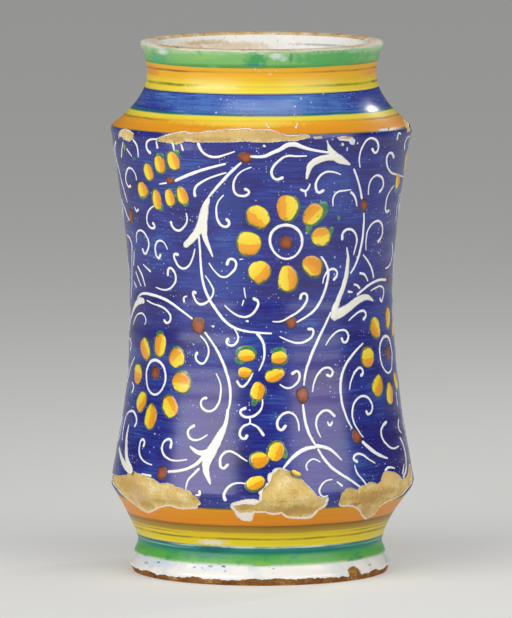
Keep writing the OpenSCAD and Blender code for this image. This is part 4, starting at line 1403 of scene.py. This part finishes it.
def ring(middle, radius):
    """A flower's ring as a closed stroke, a little out of round."""
    centre = unrolled(*middle)
    knots = []
    for i in range(RING_KNOTS):
        a = 2 * math.pi * i / RING_KNOTS
        r = radius * PX * (1 + 0.03 * math.sin(2 * a + middle[0]) + 0.02 * math.sin(3 * a))
        half = (RING_W + 0.5 * math.sin(a)) * PX / 2
        knots.append((centre + Vector((math.cos(a), math.sin(a))) * r, half))
    return knots


def side_scroll(angle, z, size, turn, hand):
    """A hooked scroll that winds in from its tail."""
    knots = []
    for i in range(HOOK_KNOTS):
        a = math.radians(turn + hand * i * HOOK_TURN)
        r = size * (1.05 - i * 0.1)
        place = Vector((math.radians(angle) * R_REF, z)) + Vector((math.cos(a), math.sin(a))) * r
        knots.append((place, SCROLL_W * PX / 2 * (0.75 + 0.03 * i)))
    return rounded(knots)


def brushwork(name, strokes, material, closed=False):
    """White strokes as one piece: drawn flat, each on a layer of its own, and then laid on the jar."""
    curve = bpy.data.curves.new(name, "CURVE")
    curve.dimensions = "3D"
    curve.twist_mode = "Z_UP"
    curve.bevel_depth = 1.0
    curve.bevel_resolution = 2
    curve.resolution_u = 4
    curve.use_fill_caps = not closed
    for number, knots in enumerate(strokes):
        spline = curve.splines.new("BEZIER")
        spline.bezier_points.add(len(knots) - 1)
        spline.use_cyclic_u = closed
        for point, (place, half) in zip(spline.bezier_points, knots):
            point.co = (place.x, place.y, number * LAYER)
            point.radius = half
            point.handle_left_type = "AUTO"
            point.handle_right_type = "AUTO"
    drawing = put(name + "_drawing", curve)
    bm = bmesh.new()
    bm.from_mesh(drawing.evaluated_get(bpy.context.evaluated_depsgraph_get()).to_mesh())
    bpy.data.objects.remove(drawing)
    bm.normal_update()
    load = bm.verts.layers.float.new("load")
    for vert in bm.verts:
        number = round(vert.co.z / LAYER)
        vert[load] = max(0.0, vert.normal.z)
        proud = RELIEF * (0.9 + 0.06 * (number % 5)) * min(1.0, 1.3 * vert[load])
        depth = -proud if vert.normal.z > -0.1 else STROKE_SINK
        vert.co = thrown(vert.co.x / R_REF, depth, vert.co.y)
    return make_piece(name, bm, material, sharp=math.pi)


def dab(bm, place, size, axis, lift, ripe=0.0):
    """A daub of colour: a flattened drop on the surface, a little wider at its outer end."""
    uv = bm.loops.layers.uv["petal"]
    share = bm.verts.layers.float["ripe"]
    across = Vector((axis.y, -axis.x))
    for vert in bmesh.ops.create_uvsphere(bm, u_segments=30, v_segments=8, radius=1.0)["verts"]:
        x, y, z = vert.co
        for loop in vert.link_loops:
            loop[uv].uv = (0.5 + 0.5 * x, 0.5 + 0.5 * y)
        vert[share] = ripe
        around = math.atan2(y, x)
        full = abs(math.cos(around)) ** DAUB_SQUARE + abs(math.sin(around)) ** DAUB_SQUARE
        full = full ** (-1 / DAUB_SQUARE)
        full *= 1.03 + 0.1 * noise.noise(Vector((x * 1.6, y * 1.6, place.x + place.y)))
        reach = place + across * (x * full * size[0] / 2 * (1 + 0.1 * y)) + axis * (y * full * size[1] / 2)
        depth = -lift * min(1.0, 2.2 * z) if z > 0 else DAUB_SINK
        vert.co = thrown(reach.x / R_REF, depth, reach.y)


def daubs(name, marks, lift, material):
    """A piece of many daubs: each mark is (place, size, axis, ripe)."""
    bm = bmesh.new()
    bm.loops.layers.uv.new("petal")
    bm.verts.layers.float.new("ripe")
    for place, size, axis, ripe in marks:
        dab(bm, place, size, axis, lift, ripe)
    return make_piece(name, bm, material, sharp=math.pi)


def upright(lean_deg):
    """A petal's axis, leaning from upright."""
    a = math.radians(lean_deg)
    return Vector((math.sin(a), math.cos(a)))


def ornament():
    """The flower scroll on the front, and the same scroll with small changes of hand on the back."""
    chance = random.Random(5)
    groups = {"white_stems": [loaded_brush(points, STEM_W) for points in STEMS],
              "white_scrolls": [scroll_brush(points, SCROLL_W) for points in SCROLLS],
              "white_fine_lines": [loaded_brush(points, FINE_W) for points in FINE_LINES],
              "white_leaves": [loaded_brush(points, STEM_W) for points in LEAVES],
              "white_flower_rings": [ring(middle, radius) for middle, radius, petals in FLOWERS]}
    for name, strokes in groups.items():
        drift = []
        for _ in strokes:
            along = BACK + chance.uniform(-HAND_STRAY, HAND_STRAY)
            drift.append(Vector((along, chance.uniform(-HAND_STRAY, HAND_STRAY))))
        material = leaf_white if name == "white_leaves" else scroll_white
        closed = name == "white_flower_rings"
        brushwork(name + "_front", strokes, material, closed)
        brushwork(name + "_back", [moved(knots, d) for knots, d in zip(strokes, drift)], material, closed)
    brushwork("white_side_scrolls", [side_scroll(*scroll) for scroll in SIDE_SCROLLS], scroll_white)
    petals = []
    for middle, radius, marks in FLOWERS:
        for x, y, width, length, ripe in marks:
            axis = (unrolled(x, y) - unrolled(*middle)).normalized()
            petals.append((unrolled(x, y), (width * PX, length * PX), axis, ripe))
    for x, y, width, length, lean_deg, ripe in BUDS:
        petals.append((unrolled(x, y), (width * PX, length * PX), -upright(lean_deg), ripe))
    fringes = []
    for place, size, axis, ripe in petals:
        slip = Vector((chance.uniform(-0.5, 0.5), chance.uniform(-0.6, 0.4)))
        fringes.append((place + slip, (size[0] + FRINGE_W, size[1] + FRINGE_W), axis, 0.0))
    runs = []
    for x, y, width, height, lean_deg in GREEN_RUNS:
        runs.append((unrolled(x, y), (width * PX, height * PX), upright(lean_deg), 0.0))
    dots = [(unrolled(x, y), (w * PX, h * PX), upright(0), 0.0) for x, y, w, h in RUST_DOTS]
    olive = green_wash("olive_fringe_glaze", "#2a3a5c", "#456a40", "#8a8030")
    green = green_wash("copper_green_wash", "#235c62", "#3c8250", "#8f9c3e")
    for name, marks, lift, material, slot in [
            ("petal_fringes", fringes, 0.05, olive, "copper_green"),
            ("green_runs", runs, 0.08, green, "copper_green"),
            ("flower_petals", petals, 0.1, petal_glaze(), "antimony_yellow"),
            ("rust_dots", dots, 0.1, rust_glaze(), "orange")]:
        turned_marks = [(place + Vector((BACK, 0)), size, axis, ripe) for place, size, axis, ripe in marks]
        daubs(name, marks + turned_marks, lift, material)


clay_pieces()
glaze_pieces()
painted_bands()
ornament()


# Stage, light and camera

# Half the floor's width in metres, and the brightness that the camera and mirrored rays see in it
FLOOR_HALF = 12
FLOOR_GLOW = 0.28
# Softboxes face this point of the jar's waist
AIM = Vector((0, 0, 0.11))


def floor():
    """Plain pale paper under and behind the jar, dull and even."""
    bm = bmesh.new()
    bmesh.ops.create_grid(bm, x_segments=1, y_segments=1, size=FLOOR_HALF)
    mesh = bpy.data.meshes.new("floor")
    bm.to_mesh(mesh)
    bm.free()
    material, tree, shader, _ = start_material("pale_paper")
    shader.inputs["Roughness"].default_value = 0.9
    shader.inputs["Base Color"].default_value = tint("#d2d1cd")
    shader.inputs["Emission Color"].default_value = tint("#e9e9e7")
    path = add(tree, "LightPath").outputs
    mirrored = add(tree, "Math", {0: path["Is Glossy Ray"], 1: path["Is Transmission Ray"]},
                   operation="MAXIMUM")
    seen = add(tree, "Math", {0: path["Is Camera Ray"], 1: mirrored.outputs["Value"]}, operation="MAXIMUM")
    glow = add(tree, "Math", {0: seen.outputs["Value"], 1: FLOOR_GLOW}, operation="MULTIPLY")
    tree.links.new(glow.outputs["Value"], shader.inputs["Emission Strength"])
    mesh.materials.append(material)
    put("floor", mesh)


def softbox(name, azimuth, elevation, distance, width, height, glow):
    """A softbox that faces the jar; azimuth 0 is at the camera, and glow is its brightness."""
    a = math.radians(azimuth)
    e = math.radians(elevation)
    place = AIM + Vector((math.sin(a) * math.cos(e), -math.cos(a) * math.cos(e), math.sin(e))) * distance
    lamp = bpy.data.lights.new(name, "AREA")
    lamp.shape = "RECTANGLE"
    lamp.size = width
    lamp.size_y = height
    lamp.energy = glow * math.pi * width * height
    box = put(name, lamp)
    box.location = place
    box.rotation_euler = (AIM - place).to_track_quat("-Z", "Y").to_euler()
    box.visible_camera = False


floor()
softbox("left_softbox", -48, 16, 1.3, 1.3, 0.75, 4.0)
softbox("right_softbox", 47, 16, 1.3, 1.2, 0.75, 2.9)
softbox("top_softbox", 0, 70, 1.2, 1.0, 0.6, 2.2)
softbox("rear_kicker", 134, 33, 1.0, 0.1, 0.07, 55)

world = bpy.data.worlds.new("studio")
world.use_nodes = True
world.node_tree.nodes["Background"].inputs["Color"].default_value = tint("#d0d2d6")
world.node_tree.nodes["Background"].inputs["Strength"].default_value = 0.15
bpy.context.scene.world = world

lens = bpy.data.cameras.new("camera")
lens.sensor_width = SENSOR
lens.lens = FOCAL_PX * SENSOR / PHOTO_H
lens.clip_end = 100
camera = put("camera", lens)
camera.location = Vector((CAMERA_X, CAMERA_Y, CAMERA_Z)) * MM
camera.rotation_euler = (math.pi / 2 - CAMERA_PITCH, 0, 0)
bpy.context.scene.camera = camera
bpy.context.scene.view_settings.view_transform = "Standard"
